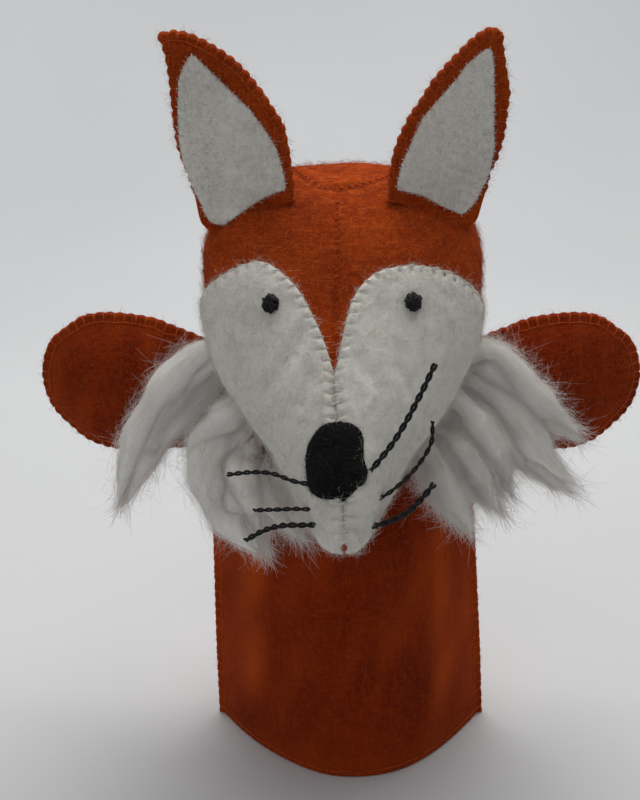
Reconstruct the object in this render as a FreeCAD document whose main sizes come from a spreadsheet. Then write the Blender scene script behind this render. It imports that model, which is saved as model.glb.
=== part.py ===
import FreeCAD, Part
import math
import os

App = FreeCAD
V = FreeCAD.Vector

# Felt fox glove puppet, standing on its hem.
# Working frame: +Z up, the face looks along -Y, the axis of the felt tube is x = 0, y = 0 while
# modelling, and every sub-part is then placed y_shift along +Y so that the origin sits under the
# middle of the whole toy.  "left" and "right" are the puppet's own: its left is +X.

doc = App.newDocument("fox_glove_puppet")

# ------------------------------------------------------------------ driving dimensions (mm)
sheet = doc.addObject("Spreadsheet::Sheet", "Dims")
DIMS = [
    ("felt", 2.6, "thickness of the wool felt"),
    ("y_shift", 24.6, "tube axis to toy origin"),
    ("hem_half_width", 52.0, "half width of the open hem"),
    ("hem_half_depth", 49.0, "half depth of the open hem"),
    ("hem_lean", 4.5, "sideways shift of the hem against the neck"),
    ("shoulder_z", 146.0, "underside of the closed shoulder"),
    ("shoulder_top", 149.0, "top of the closed shoulder"),
    ("arm_pivot_x", 60.0, "shoulder hinge, sideways"),
    ("arm_pivot_z", 139.0, "shoulder hinge, height"),
    ("arm_root_r", 21.3, "radius of the rounded arm root"),
    ("armhole_r", 22.1, "radius of the armhole"),
    ("arm_half_height", 25.5, "half height of the arm"),
    ("arm_half_depth", 10.5, "half depth of the arm"),
    ("knuckle_x", 86.0, "finger bend line"),
    ("knuckle_gap", 0.4, "gap at the finger bend line"),
    ("neck_pivot_z", 157.0, "height of the neck pivot"),
    ("neck_hole_r", 16.6, "hole in the shoulder"),
    ("band_outer_r", 16.1, "neck band outside radius"),
    ("band_inner_r", 13.5, "neck band inside radius"),
    ("band_low_z", 130.0, "neck band lower edge"),
    ("band_len", 21.5, "neck band height"),
    ("stitch_ring_r", 16.0, "neck stitch ring, centre radius"),
    ("stitch_r", 1.3, "neck stitch ring, thread bundle radius"),
    ("neck_clear_r", 20.5, "spherical clearance in the head around the neck pivot"),
    ("finger_outer_r", 11.5, "finger tube outside radius"),
    ("finger_inner_r", 9.6, "finger tube inside radius"),
    ("finger_len", 48.0, "finger tube length"),
    ("patch", 1.9, "thickness of the white applique felt"),
    ("ear_thick", 4.4, "two layers of ear felt"),
    ("ear_white", 1.5, "white ear lining"),
    ("ear_stitch", 1.8, "width of the ear's edge stitching"),
    ("edge_thread_r", 1.4, "blanket-stitch edge bundle radius"),
    ("seam_thread_r", 0.6, "seam thread radius"),
    ("eye_r", 3.1, "eye knot radius"),
    ("eye_half", 1.3, "eye knot half thickness"),
    ("nose_thick", 6.0, "nose felt, before it is laid on the muzzle"),
    ("whisker_r", 0.8, "twisted whisker thread radius"),
]
for i, (alias, value, note) in enumerate(DIMS, start=1):
    sheet.set("A%d" % i, note)
    sheet.set("B%d" % i, "%g" % value)
    sheet.setAlias("B%d" % i, alias)
doc.recompute()


def D(alias):
    return float(sheet.get(alias))


T = D("felt")
YS = D("y_shift")
SUBPARTS = []


def shifted(rot=None, base=(0, 0, 0)):
    return App.Placement(V(base[0], base[1] + YS, base[2]), rot or App.Rotation())


def feature(label, shape, rot=None, base=(0, 0, 0)):
    obj = doc.addObject("Part::Feature", label)
    obj.Label = label
    obj.Shape = shape
    obj.Placement = shifted(rot, base)
    SUBPARTS.append(obj)
    return obj


def bind(obj, prop, text):
    obj.setExpression(prop, text)


def new_body(label, rot=None, base=(0, 0, 0)):
    body = doc.addObject("PartDesign::Body", label)
    body.Label = label
    body.Placement = shifted(rot, base)
    return body


def sketch_on(body, role, name):
    sk = body.newObject("Sketcher::SketchObject", name)
    plane = [f for f in body.Origin.OriginFeatures if f.Role == role][0]
    sk.AttachmentSupport = (plane, [""])
    sk.MapMode = "FlatFace"
    return sk


# ------------------------------------------------------------------ small curve helpers
def bezier(points):
    c = Part.BezierCurve()
    c.setPoles([V(*p) for p in points])
    return c.toShape()


def line(p, q):
    return Part.LineSegment(V(*p), V(*q)).toShape()


def corner_inset(a, b, t):
    # how far the inner parabola's tip draws back along the long axis for a wall of t
    return t / math.sin(math.atan(2.0 * b / a))


def sweep_circle(path_edges, r):
    wire = Part.Wire(path_edges)
    e = wire.Edges[0]
    p = e.valueAt(e.FirstParameter)
    t = e.tangentAt(e.FirstParameter)
    if p.distanceToPoint(wire.OrderedVertexes[0].Point) > 1e-6:
        p = e.valueAt(e.LastParameter)
        t = e.tangentAt(e.LastParameter)
    prof = Part.Wire([Part.makeCircle(r, p, t)])
    return wire.makePipeShell([prof], True, True)


def tube_through(points, r):
    # a round bundle along a smooth path, from section to section
    wires = []
    for k, p in enumerate(points):
        a, b = V(*points[max(0, k - 1)]), V(*points[min(len(points) - 1, k + 1)])
        n = b - a
        n.normalize()
        u = V(0, 0, 1) - n * n.z
        u.normalize()
        w = n.cross(u)
        ring_pts = [V(*p) + u * (r * math.cos(t)) + w * (r * math.sin(t)) for t in [2 * math.pi * i / 12 for i in range(12)]]
        c = Part.BSplineCurve()
        c.interpolate(Points=ring_pts, PeriodicFlag=True)
        wires.append(Part.Wire([c.toShape()]))
    return Part.makeLoft(wires, True, False)


def through(points):
    c = Part.BSplineCurve()
    c.interpolate([V(*p) for p in points])
    return c.toShape()


# ------------------------------------------------------------------ glove: a lens-shaped felt tube
# z, half width, half depth: the front and back panels meet in pinched side seams
a0, b0, lean = D("hem_half_width"), D("hem_half_depth"), D("hem_lean")
GLOVE = [
    (0.0, a0, b0),
    (30.0, a0 - 0.5, b0 - 0.5),
    (60.0, a0 - 1.5, b0 - 3.0),
    (90.0, a0 - 2.5, b0 - 8.0),
    (115.0, a0 - 3.5, b0 - 15.0),
    (130.0, a0 - 4.0, b0 - 20.0),
    (D("shoulder_z"), a0 - 6.0, b0 - 27.5),
]


def lean_at(z):
    return lean * max(0.0, 1.0 - z / 115.0)


def crescent(z, a, b, cx, s):
    # s = -1 for the front panel, +1 for the back panel
    k = corner_inset(a, b, T)
    a2, b2 = a - k, b - T
    e1 = bezier([(cx - a, 0, z), (cx, 2 * s * b, z), (cx + a, 0, z)])
    e2 = line((cx + a, 0, z), (cx + a2, 0, z))
    e3 = bezier([(cx + a2, 0, z), (cx, 2 * s * b2, z), (cx - a2, 0, z)])
    e4 = line((cx - a2, 0, z), (cx - a, 0, z))
    return Part.Wire([e1, e2, e3, e4])


def half_lens_plate(z0, z1, a, b, s):
    w = Part.Wire([bezier([(-a, 0, z0), (0, 2 * s * b, z0), (a, 0, z0)]), line((a, 0, z0), (-a, 0, z0))])
    return Part.Face(w).extrude(V(0, 0, z1 - z0))


armhole = [Part.makeCylinder(D("armhole_r"), 160, V(sx * D("arm_pivot_x"), -80, D("arm_pivot_z")), V(0, 1, 0)) for sx in (-1, 1)]
neck_hole = Part.makeCylinder(D("neck_hole_r"), 40, V(0, 0, 135))
for s, label in ((-1, "glove_front"), (1, "glove_back")):
    wires = [crescent(z, a, b, lean_at(z), s) for z, a, b in GLOVE]
    wall = Part.makeLoft(wires, True, False)
    zt, at, bt = GLOVE[-1]
    lid = half_lens_plate(zt, D("shoulder_top"), at, bt, s)
    shape = wall.fuse(lid)
    shape = shape.cut(armhole[0]).cut(armhole[1]).cut(neck_hole)
    feature(label, shape.removeSplitter())

# blanket-stitched side edges: thread bundles standing just outside the pinched seams
for sx, label in ((1, "side_stitch_left"), (-1, "side_stitch_right")):
    p = V(lean_at(2) + sx * (GLOVE[0][1] + 1.9), 0, 2)
    q = V(sx * (GLOVE[4][1] + 1.9), 0, 113)
    c = doc.addObject("Part::Cylinder", label)
    c.Label = label
    bind(c, "Radius", "Dims.edge_thread_r")
    c.Height = (q - p).Length
    c.Placement = shifted(App.Rotation(V(0, 0, 1), q - p), (p.x, p.y, p.z))
    SUBPARTS.append(c)

# stitched hem, just outside the panels and clear of the table
for s, label in ((-1, "hem_stitch_front"), (1, "hem_stitch_back")):
    r = D("edge_thread_r")
    bb = b0 + r + 0.15
    x1 = a0 - 3.5
    # parabola y = s*bb*(1-(x/a)^2) between -x1 and x1
    aw = a0 + 1.9
    path = []
    for i in range(13):
        x = -x1 + 2 * x1 * i / 12.0
        path.append((lean + x, s * bb * (1 - (x / aw) ** 2), 2.2))
    feature(label, tube_through(path, r))

# ------------------------------------------------------------------ neck band, stitch ring, finger tube


def tube_body(label, outer, inner, length, z0):
    body = new_body(label, base=(0, 0, z0))
    sk = sketch_on(body, "XY_Plane", label + "_profile")
    sk.addGeometry(Part.Circle(V(0, 0, 0), V(0, 0, 1), D(outer)), False)
    sk.addGeometry(Part.Circle(V(0, 0, 0), V(0, 0, 1), D(inner)), False)
    import Sketcher
    sk.addConstraint(Sketcher.Constraint("Coincident", 0, 3, -1, 1))
    sk.addConstraint(Sketcher.Constraint("Coincident", 1, 3, -1, 1))
    i0 = sk.addConstraint(Sketcher.Constraint("Radius", 0, D(outer)))
    i1 = sk.addConstraint(Sketcher.Constraint("Radius", 1, D(inner)))
    sk.setExpression("Constraints[%d]" % i0, "Dims." + outer)
    sk.setExpression("Constraints[%d]" % i1, "Dims." + inner)
    pad = body.newObject("PartDesign::Pad", label + "_pad")
    pad.Profile = sk
    bind(pad, "Length", "Dims." + length)
    body.Tip = pad
    SUBPARTS.append(body)
    return body


tube_body("neck_band", "band_outer_r", "band_inner_r", "band_len", D("band_low_z"))
tube_body("finger_tube", "finger_outer_r", "finger_inner_r", "finger_len", D("neck_pivot_z"))

ring = doc.addObject("Part::Torus", "neck_stitch_ring")
ring.Label = "neck_stitch_ring"
bind(ring, "Radius1", "Dims.stitch_ring_r")
bind(ring, "Radius2", "Dims.stitch_r")
ring.Placement = shifted(base=(0, 0, D("neck_pivot_z")))
SUBPARTS.append(ring)

# ------------------------------------------------------------------ head
# y, half width, top z, bottom z, z of the widest line, exponent above, exponent below
HEAD = [
    (43.0, 6.5, 198.5, 184.5, 191.0, 2.0, 2.0),
    (40.0, 20.0, 207.0, 174.0, 191.0, 2.1, 2.1),
    (32.0, 35.0, 217.0, 166.0, 191.5, 2.2, 2.2),
    (18.0, 45.5, 222.0, 162.0, 193.0, 2.5, 2.0),
    (2.0, 49.5, 221.0, 159.0, 194.0, 2.7, 1.95),
    (-14.0, 50.0, 217.0, 156.5, 192.0, 2.7, 1.95),
    (-28.0, 48.5, 209.0, 151.0, 186.0, 2.4, 2.1),
    (-40.0, 43.0, 198.5, 142.0, 175.0, 2.2, 2.1),
    (-50.0, 35.0, 187.0, 135.0, 163.0, 2.0, 2.0),
    (-60.0, 27.0, 176.0, 128.5, 152.0, 2.0, 2.0),
    (-72.0, 21.0, 162.5, 121.5, 141.0, 2.0, 2.0),
    (-84.0, 16.5, 148.5, 116.5, 131.5, 2.0, 2.0),
    (-94.0, 11.0, 136.0, 115.0, 124.5, 2.0, 2.0),
    (-99.0, 6.0, 127.5, 116.0, 121.0, 2.0, 2.0),
]


def slopes(x, y):
    h = [x[i + 1] - x[i] for i in range(len(x) - 1)]
    d = [(y[i + 1] - y[i]) / h[i] for i in range(len(h))]
    m = [d[0]]
    for k in range(1, len(x) - 1):
        if d[k - 1] * d[k] > 0:
            w1, w2 = 2 * h[k] + h[k - 1], h[k] + 2 * h[k - 1]
            m.append((w1 + w2) / (w1 / d[k - 1] + w2 / d[k]))
        else:
            m.append(0.0)
    m.append(d[-1])
    return h, m


HS = sorted(HEAD)
HX = [r[0] for r in HS]
HCOL = []
for c in range(1, 7):
    col = [r[c] for r in HS]
    HCOL.append((col,) + slopes(HX, col))


def head_at(y):
    i = 0
    while i < len(HX) - 2 and y > HX[i + 1]:
        i += 1
    out = []
    for col, h, m in HCOL:
        t = (y - HX[i]) / h[i]
        out.append((2 * t ** 3 - 3 * t ** 2 + 1) * col[i] + (t ** 3 - 2 * t ** 2 + t) * h[i] * m[i]
                   + (3 * t ** 2 - 2 * t ** 3) * col[i + 1] + (t ** 3 - t ** 2) * h[i] * m[i + 1])
    return out


def head_point(y, ang, off=0.0):
    # ang in degrees: 0 = widest line at +X, 90 = top
    w, zt, zb, zw, nt, nb = head_at(y)
    w, zt, zb = max(0.8, w + off), max(zw + 0.8, zt + off), min(zw - 0.8, zb - off)
    c, s = math.cos(math.radians(ang)), math.sin(math.radians(ang))
    e = 2.0 / (nt if s >= 0 else nb)
    x = w * math.copysign(abs(c) ** e, c)
    z = zw + (zt - zw) * abs(s) ** e if s >= 0 else zw - (zw - zb) * abs(s) ** e
    return V(x, y, z)


def head_solid(off):
    wires = []
    rows = list(HEAD)
    for k, r in enumerate(rows):
        y = r[0]
        if k == 0:
            y += off
        if k == len(rows) - 1:
            y -= off
        pts = []
        n = 40
        for i in range(n):
            ang = -52.0 + 360.0 * i / n
            p = head_point(r[0], ang, off)
            pts.append(V(p.x, y, p.z))
        c = Part.BSplineCurve()
        c.interpolate(Points=pts, PeriodicFlag=True)
        wires.append(Part.Wire([c.toShape()]))
    return Part.makeLoft(wires, True, False)


head_out = head_solid(0.0)
head_in = head_solid(-T)
shell = head_out.cut(head_in)


def yz_prism(points, half=70.0):
    w = Part.makePolygon([V(-half, y, z) for y, z in points] + [V(-half, points[0][0], points[0][1])])
    return Part.Face(w).extrude(V(2 * half, 0, 0))


def xz_prism(points, y0, y1):
    w = Part.makePolygon([V(x, y0, z) for x, z in points] + [V(points[0][0], y0, points[0][1])])
    return Part.Face(w).extrude(V(0, y1 - y0, 0))


# line between the side panels and the underside gusset
GUSSET = [(60, 178), (40, 180), (18, 169), (2, 166), (-14, 163.5), (-28, 158), (-40, 149.5), (-50, 142),
          (-60, 135.5), (-72, 128), (-84, 122.5), (-94, 119.5), (-110, 119)]
gusset_zone = yz_prism(GUSSET + [(-110, 90), (60, 90)])
back_zone = Part.makeBox(140, 60, 140, V(-70, 6, 120))
neck_ball = Part.makeSphere(D("neck_clear_r"), V(0, 0, D("neck_pivot_z")))
neck_drop = Part.makeCylinder(D("neck_clear_r"), 30, V(0, 0, D("neck_pivot_z") - 30))
neck_void = neck_ball.fuse(neck_drop)

under = shell.common(gusset_zone).cut(neck_void)
feature("head_underside", under)
upper = shell.cut(gusset_zone)
feature("head_back", upper.common(back_zone))
front = upper.cut(back_zone)
feature("head_side_left", front.common(Part.makeBox(80, 160, 160, V(0, -120, 90))))
feature("head_side_right", front.common(Part.makeBox(80, 160, 160, V(-80, -120, 90))))

stuffing = head_solid(-T - 0.6).cut(neck_void)
stuffing = stuffing.cut(Part.makeCylinder(D("finger_outer_r") + 0.1, 80, V(0, 0, D("neck_pivot_z") - 5), V(0, 0, 1)).common(
    Part.makeBox(60, 60, D("finger_len") + 5.4, V(-30, -30, D("neck_pivot_z") - 5))))
feature("head_stuffing", stuffing)

# white applique felt over the cheeks and muzzle, one piece per side
P = D("patch")
skin = head_solid(P + 0.15).cut(head_solid(0.15))
PATCH = [(0.15, 100), (0.15, 166), (2.5, 171), (6, 179), (11, 188), (17, 195), (24, 199), (31, 200), (38, 197.5),
         (44, 192), (49, 184), (60, 170), (60, 100)]
for sx, label in ((1, "muzzle_patch_left"), (-1, "muzzle_patch_right")):
    zone = xz_prism([(sx * x, z) for x, z in PATCH], -115, -9)
    feature(label, skin.common(zone).cut(gusset_zone))

# eyes: flat felted knots lying on the patches
for sx, label in ((1, "eye_left"), (-1, "eye_right")):
    ye, best = -46.0, None
    for k in range(200):
        ang = 20.0 + 0.35 * k
        q = head_point(ye, ang)
        if best is None or abs(q.x - 24.0) < abs(best[1].x - 24.0):
            best = (ang, q)
    q = best[1]
    qa, qy = head_point(ye, best[0] + 1.0), head_point(ye - 1.0, best[0])
    n = (qa - q).cross(qy - q)
    n.normalize()
    if n.y > 0:
        n = -n
    c = q + n * (P + 0.15 + D("eye_half") + 0.35)
    eye = doc.addObject("Part::Ellipsoid", label)
    eye.Label = label
    bind(eye, "Radius1", "Dims.eye_half")
    bind(eye, "Radius2", "Dims.eye_r")
    bind(eye, "Radius3", "Dims.eye_r")
    eye.Placement = shifted(App.Rotation(V(0, 0, 1), V(sx * n.x, n.y, n.z)), (sx * c.x, c.y, c.z))
    SUBPARTS.append(eye)

# nose: a lobed pad of black felt laid on the top of the muzzle
NOSE = [(0.0, 13.2), (5.2, 12.9), (9.4, 10.0), (10.6, 4.5), (10.2, 0.0), (10.9, -4.6), (9.2, -9.0), (5.6, -10.4),
        (3.2, -13.6), (0.0, -14.4), (-3.2, -12.9), (-6.4, -11.6), (-9.4, -8.4), (-10.6, -3.2), (-10.8, 2.5),
        (-9.2, 8.4), (-5.2, 12.4)]
nose_body = new_body("nose_blank", rot=App.Rotation(V(1, 0, 0), 50.0), base=(-2.0, -83.0, 145.0))
sk = sketch_on(nose_body, "XY_Plane", "nose_outline")
bs = Part.BSplineCurve()
bs.interpolate(Points=[V(x, y, 0) for x, y in NOSE], PeriodicFlag=True)
pts = [bs.value(bs.FirstParameter + (bs.LastParameter - bs.FirstParameter) * k / 48.0) for k in range(48)]
for k in range(48):
    sk.addGeometry(Part.LineSegment(pts[k], pts[(k + 1) % 48]), False)
pad = nose_body.newObject("PartDesign::Pad", "nose_pad")
pad.Profile = sk
bind(pad, "Length", "Dims.nose_thick")
nose_body.Tip = pad
doc.recompute()
under_nose = doc.addObject("Part::Feature", "nose_bed")
under_nose.Shape = head_solid(P + 0.3)
under_nose.Placement = shifted()
nose = doc.addObject("Part::Cut", "nose")
nose.Label = "nose"
nose.Base = nose_body
nose.Tool = under_nose
SUBPARTS.append(nose)

# seam threads lying on the felt
rs = D("seam_thread_r")


def on_top(y, off):
    p = head_point(y, 90.0, off)
    return (p.x, p.y, p.z)


feature("forehead_seam_thread", sweep_circle([through([on_top(y, rs + 0.6) for y in (0, -12, -24, -36, -48, -58)])], rs))
feature("muzzle_seam_thread", sweep_circle([through([on_top(y, P + rs + 0.5) for y in (-62, -65, -68, -71, -73.5)])], rs))
crown = []
for ang, y in ((128, 10), (118, 7.5), (104, 3.5), (90, 2.0), (76, 3.5), (62, 7.5), (52, 10)):
    p = head_point(y, ang, rs + 0.5)
    crown.append((p.x, p.y, p.z))
feature("crown_seam_thread", sweep_circle([through(crown)], rs))

# whiskers: stiff twisted black thread, three a side
WHISKERS = {
    "whisker_right_upper": ((-19.9, -82.0, 139.0), (-28.0, -78.0, 139.0), (-39.0, -72.0, 135.4)),
    "whisker_right_middle": ((-19.6, -84.0, 128.6), (-23.5, -80.0, 126.8), (-30.0, -76.0, 124.5)),
    "whisker_right_lower": ((-17.0, -87.6, 124.8), (-25.0, -83.0, 121.0), (-33.0, -78.0, 113.8)),
    "whisker_left_upper": ((16.5, -81.0, 147.5), (22.0, -78.0, 160.0), (29.5, -74.0, 175.2)),
    "whisker_left_middle": ((20.5, -82.0, 137.0), (26.5, -79.0, 145.0), (30.5, -76.0, 155.0)),
    "whisker_left_lower": ((17.6, -87.2, 126.2), (23.0, -83.0, 128.5), (29.5, -78.0, 134.0)),
}
for label, (p, m, q) in WHISKERS.items():
    arc = Part.Arc(V(*p), V(*m), V(*q)).toShape()
    feature(label, sweep_circle([arc], D("whisker_r")))

# ------------------------------------------------------------------ ears
# outlines as seen from the front, x and z, each ear cut a little differently by hand
EAR = {
    "left": {
        "outer": [(51.9, 276.1), (49.0, 275.1), (45.3, 272.4), (40.6, 267.6), (35.8, 262.7), (31.4, 257.5),
                  (27.2, 250.5), (24.0, 246.2), (20.1, 238.6), (18.5, 234.1), (17.2, 227.6), (16.1, 219.6),
                  (22.0, 219.0), (29.0, 217.6), (36.0, 215.4), (42.3, 213.6), (44.9, 215.6), (47.9, 218.9),
                  (50.7, 222.9), (52.0, 226.9), (54.3, 231.6), (56.4, 240.2), (57.4, 249.1), (58.0, 255.0),
                  (56.6, 262.0), (55.2, 270.7), (55.0, 274.5)],
        "white": [(50.6, 268.9), (51.6, 263.4), (52.0, 254.0), (52.0, 244.1), (52.2, 235.0), (51.0, 227.5),
                  (48.0, 220.7), (42.3, 216.0), (35.0, 217.6), (29.0, 219.8), (22.0, 221.2), (19.8, 221.6),
                  (21.8, 229.4), (25.5, 237.7), (29.3, 245.5), (34.0, 251.2), (39.8, 257.8), (44.5, 264.0)],
        "base": ((16.0, 217.6), (43.0, 211.6)),
    },
    "right": {
        "outer": [(-64.0, 274.1), (-62.4, 270.7), (-61.1, 265.8), (-60.2, 258.9), (-59.8, 252.9), (-59.1, 244.1),
                  (-58.0, 236.1), (-55.9, 229.4), (-52.5, 222.5), (-49.8, 217.5), (-46.3, 213.4), (-42.3, 211.6),
                  (-36.0, 214.9), (-29.0, 217.4), (-22.0, 219.0), (-17.4, 219.6), (-18.0, 225.1), (-19.2, 234.0),
                  (-21.0, 243.0), (-24.3, 248.0), (-28.3, 254.0), (-33.1, 259.9), (-37.9, 264.8), (-42.7, 268.2),
                  (-47.5, 271.0), (-53.3, 273.7), (-58.1, 274.9)],
        "white": [(-52.4, 266.5), (-46.3, 260.3), (-39.8, 254.0), (-33.3, 248.0), (-28.4, 241.6), (-24.4, 235.2),
                  (-22.5, 229.1), (-20.8, 222.0), (-29.0, 219.4), (-36.0, 217.2), (-41.9, 214.6), (-46.6, 216.6),
                  (-52.2, 223.0), (-55.0, 230.1), (-56.4, 238.0), (-56.7, 248.0), (-56.2, 258.5), (-54.8, 262.7)],
        "base": ((-16.0, 217.6), (-43.0, 211.0)),
    },
}
EAR_Y = -13.0
lean_back = App.Rotation(V(1, 0, 0), -5.0)
for side, data in EAR.items():
    pivot_z = 214.6

    def ear_place():
        return (0, EAR_Y, pivot_z)

    body = new_body("ear_%s_outer" % side, rot=lean_back, base=ear_place())
    sk = sketch_on(body, "XZ_Plane", "ear_%s_outline" % side)
    o = data["outer"]
    for k in range(len(o)):
        p, q = o[k], o[(k + 1) % len(o)]
        sk.addGeometry(Part.LineSegment(V(p[0], p[1] - pivot_z, 0), V(q[0], q[1] - pivot_z, 0)), False)
    pad = body.newObject("PartDesign::Pad", "ear_%s_pad" % side)
    pad.Profile = sk
    bind(pad, "Length", "Dims.ear_thick")
    body.Tip = pad
    SUBPARTS.append(body)
    doc.recompute()
    # the pad's front face may run either way along Y: read it back
    loc = pad.Shape.BoundBox
    front_y = loc.YMin
    w = data["white"]
    face = Part.Face(Part.makePolygon([V(x, front_y - 0.1, z - pivot_z) for x, z in w] + [V(w[0][0], front_y - 0.1, w[0][1] - pivot_z)]))
    feature("ear_%s_lining" % side, face.extrude(V(0, -D("ear_white"), 0)), lean_back, ear_place())
    wire = Part.makePolygon([V(x, 0, z - pivot_z) for x, z in o] + [V(o[0][0], 0, o[0][1] - pivot_z)])
    base_face = Part.Face(wire)
    big = base_face.makeOffset2D(D("ear_stitch") + 0.15, 0)
    small = base_face.makeOffset2D(0.15, 0)
    band = big.cut(small).extrude(V(0, 3.0, 0))
    band.translate(V(0, (loc.YMin + loc.YMax) / 2.0 - 1.5, 0))
    (x0, z0), (x1, z1) = data["base"]
    lo = Part.Face(Part.makePolygon([V(min(x0, x1) - 30, -20, 221.0 - pivot_z), V(max(x0, x1) + 30, -20, 221.0 - pivot_z),
                                     V(max(x0, x1) + 30, -20, 190 - pivot_z), V(min(x0, x1) - 30, -20, 190 - pivot_z),
                                     V(min(x0, x1) - 30, -20, 221.0 - pivot_z)])).extrude(V(0, 40, 0))
    feature("ear_%s_stitch" % side, band.cut(lo), lean_back, ear_place())

# ------------------------------------------------------------------ arms
hA, dA = D("arm_half_height"), D("arm_half_depth")
pz, px, rA = D("arm_pivot_z"), D("arm_pivot_x"), D("arm_root_r") + 0.2
az = pz + 3.6
# x, half height, half depth, centre z
ARM = [(34.0, rA, dA - 1.8, pz), (56.0, rA, dA - 1.4, pz), (62.0, rA + 1.3, dA - 0.9, pz + 1.3), (70.0, hA - 0.9, dA - 0.2, pz + 2.8),
       (80.0, hA, dA, az), (88.0, hA, dA - 0.2, az + 0.5), (95.0, hA - 1.7, dA - 1.2, az + 1.3),
       (99.0, hA - 4.0, dA - 2.2, az + 1.8), (102.5, hA - 7.0, dA - 3.5, az + 2.2), (106.5, hA - 11.8, dA - 5.1, az + 2.7),
       (109.5, hA - 17.3, dA - 6.9, az + 3.1), (110.9, hA - 22.0, dA - 8.9, az + 3.3)]
STALL = [(32.0, rA - 3.9, dA - 1.8 - T, pz), (56.0, rA - 3.9, dA - 1.4 - T, pz), (62.0, rA - 2.7, dA - 0.9 - T, pz + 1.3),
         (70.0, hA - 5.0, dA - T - 0.2, pz + 2.8), (80.0, hA - 4.1, dA - T, az), (88.0, hA - 4.2, dA - T - 0.2, az + 0.5),
         (95.0, hA - 6.2, dA - T - 1.4, az + 1.2), (100.0, hA - 9.4, dA - T - 2.9, az + 1.8), (103.5, hA - 14.0, dA - T - 4.6, az + 2.3)]
kx, kg = D("knuckle_x"), D("knuckle_gap")


def half_solid(rows, sx, s, over):
    wires = []
    for x, h_, d_, zc in rows:
        top, bot = (sx * x, 0, zc + h_), (sx * x, 0, zc - h_)
        curve = bezier([top, (sx * x, 2 * s * d_, zc), bot])
        if over:
            o_ = -s * 1.0
            t2, b2 = (sx * x, o_, zc + h_), (sx * x, o_, zc - h_)
            wires.append(Part.Wire([curve, line(bot, b2), line(b2, t2), line(t2, top)]))
        else:
            wires.append(Part.Wire([curve, line(bot, top)]))
    return Part.makeLoft(wires, True, True)


for sx, side in ((1, "left"), (-1, "right")):
    rounded = Part.makeCylinder(D("arm_root_r"), 60, V(sx * px, -30, pz), V(0, 1, 0)).fuse(
        Part.makeBox(80, 60, 80, V(min(sx * (px - 2.0), sx * (px - 2.0 + 80)), -30, pz - 40)))
    inner_box = Part.makeBox(60, 60, 80, V(min(sx * (kx - kg / 2), sx * (kx - kg / 2 - 60)), -30, pz - 40))
    outer_box = Part.makeBox(60, 60, 80, V(min(sx * (kx + kg / 2), sx * (kx + kg / 2 + 60)), -30, pz - 40))
    for s, face_name in ((-1, "front"), (1, "back")):
        felt = half_solid(ARM, sx, s, False).cut(half_solid(STALL, sx, s, True))
        felt = felt.common(rounded)
        feature("arm_%s_sleeve_%s" % (side, face_name), felt.common(inner_box))
        feature("arm_%s_paw_%s" % (side, face_name), felt.common(outer_box))
    # stitched edges: along the top and the bottom of the sleeve, and round the paw
    r = D("edge_thread_r")
    e = hA + r + 0.3
    for name, sgn, zl in (("top", 1, 1.6), ("bottom", -1, 0.8)):
        c = doc.addObject("Part::Cylinder", "arm_%s_stitch_%s" % (side, name))
        c.Label = "arm_%s_stitch_%s" % (side, name)
        bind(c, "Radius", "Dims.edge_thread_r")
        p = V(sx * 70.5, 0, pz + 2.8 + sgn * (e - 0.9) + (0.15 if sgn > 0 else -0.15))
        q = V(sx * (kx - 0.6), 0, az + 0.45 + sgn * (e + 0.25))
        c.Height = (q - p).Length
        c.Placement = shifted(App.Rotation(V(0, 0, 1), q - p), (p.x, p.y, p.z))
        SUBPARTS.append(c)
    p0 = V(sx * (kx + 0.6), 0, az + 0.5 + e + 0.2)
    p1 = V(sx * 88.0, 0, az + 0.6 + e + 0.2)
    pm = V(sx * 113.6, 0, az + 2.9)
    p3 = V(sx * 88.0, 0, az + 0.4 - e - 0.2)
    p4 = V(sx * (kx + 0.6), 0, az + 0.3 - e - 0.2)
    edges = [Part.LineSegment(p0, p1).toShape(), Part.Arc(p1, pm, p3).toShape(), Part.LineSegment(p3, p4).toShape()]
    feature("arm_%s_stitch_paw" % side, sweep_circle(edges, r))

# ------------------------------------------------------------------ wool mane: loose combed locks under the cheeks
LOCKS = {
    "mane_right_outer": [((-44, -19, 158), 5.5), ((-52, -20, 150), 7.5), ((-63, -20.5, 138), 8.5), ((-71, -20.5, 125), 7.5), ((-77, -20, 113), 4.5), ((-80, -20, 105), 2.0)],
    "mane_right_inner": [((-31, -27, 146), 6.0), ((-37, -29, 137), 8.5), ((-40, -33, 124), 10.0), ((-36, -40, 110), 8.5), ((-30, -45, 97), 6.0), ((-26, -47, 89), 2.5)],
    "mane_left_outer": [((45, -18.5, 154), 4.5), ((51, -19, 158.5), 5.5), ((60, -19, 152), 6.0), ((69, -19, 141.5), 6.0), ((78, -18.5, 133), 5.0), ((86, -18, 127), 2.5)],
    "mane_left_middle": [((40, -21.5, 149), 6.0), ((50, -23.5, 138), 8.5), ((60, -25, 127), 9.5), ((69, -25, 116), 7.5), ((77, -24, 107), 3.5)],
    "mane_left_inner": [((29, -30, 145), 6.0), ((37, -33, 135), 9.0), ((42, -38, 123), 10.0), ((47, -41, 110), 7.5), ((51, -42, 100), 3.0)],
}
for label, stations in LOCKS.items():
    wires = []
    for k, (p, r) in enumerate(stations):
        a = V(*stations[max(0, k - 1)][0])
        b = V(*stations[min(len(stations) - 1, k + 1)][0])
        n = b - a
        n.normalize()
        u = V(0, 1, 0) - n * n.y
        u.normalize()
        w = n.cross(u)
        pts = [V(*p) + u * (r * 0.85 * math.cos(t)) + w * (r * math.sin(t)) for t in [2 * math.pi * i / 12 for i in range(12)]]
        c = Part.BSplineCurve()
        c.interpolate(Points=pts, PeriodicFlag=True)
        wires.append(Part.Wire([c.toShape()]))
    feature(label, Part.makeLoft(wires, True, False))

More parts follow.
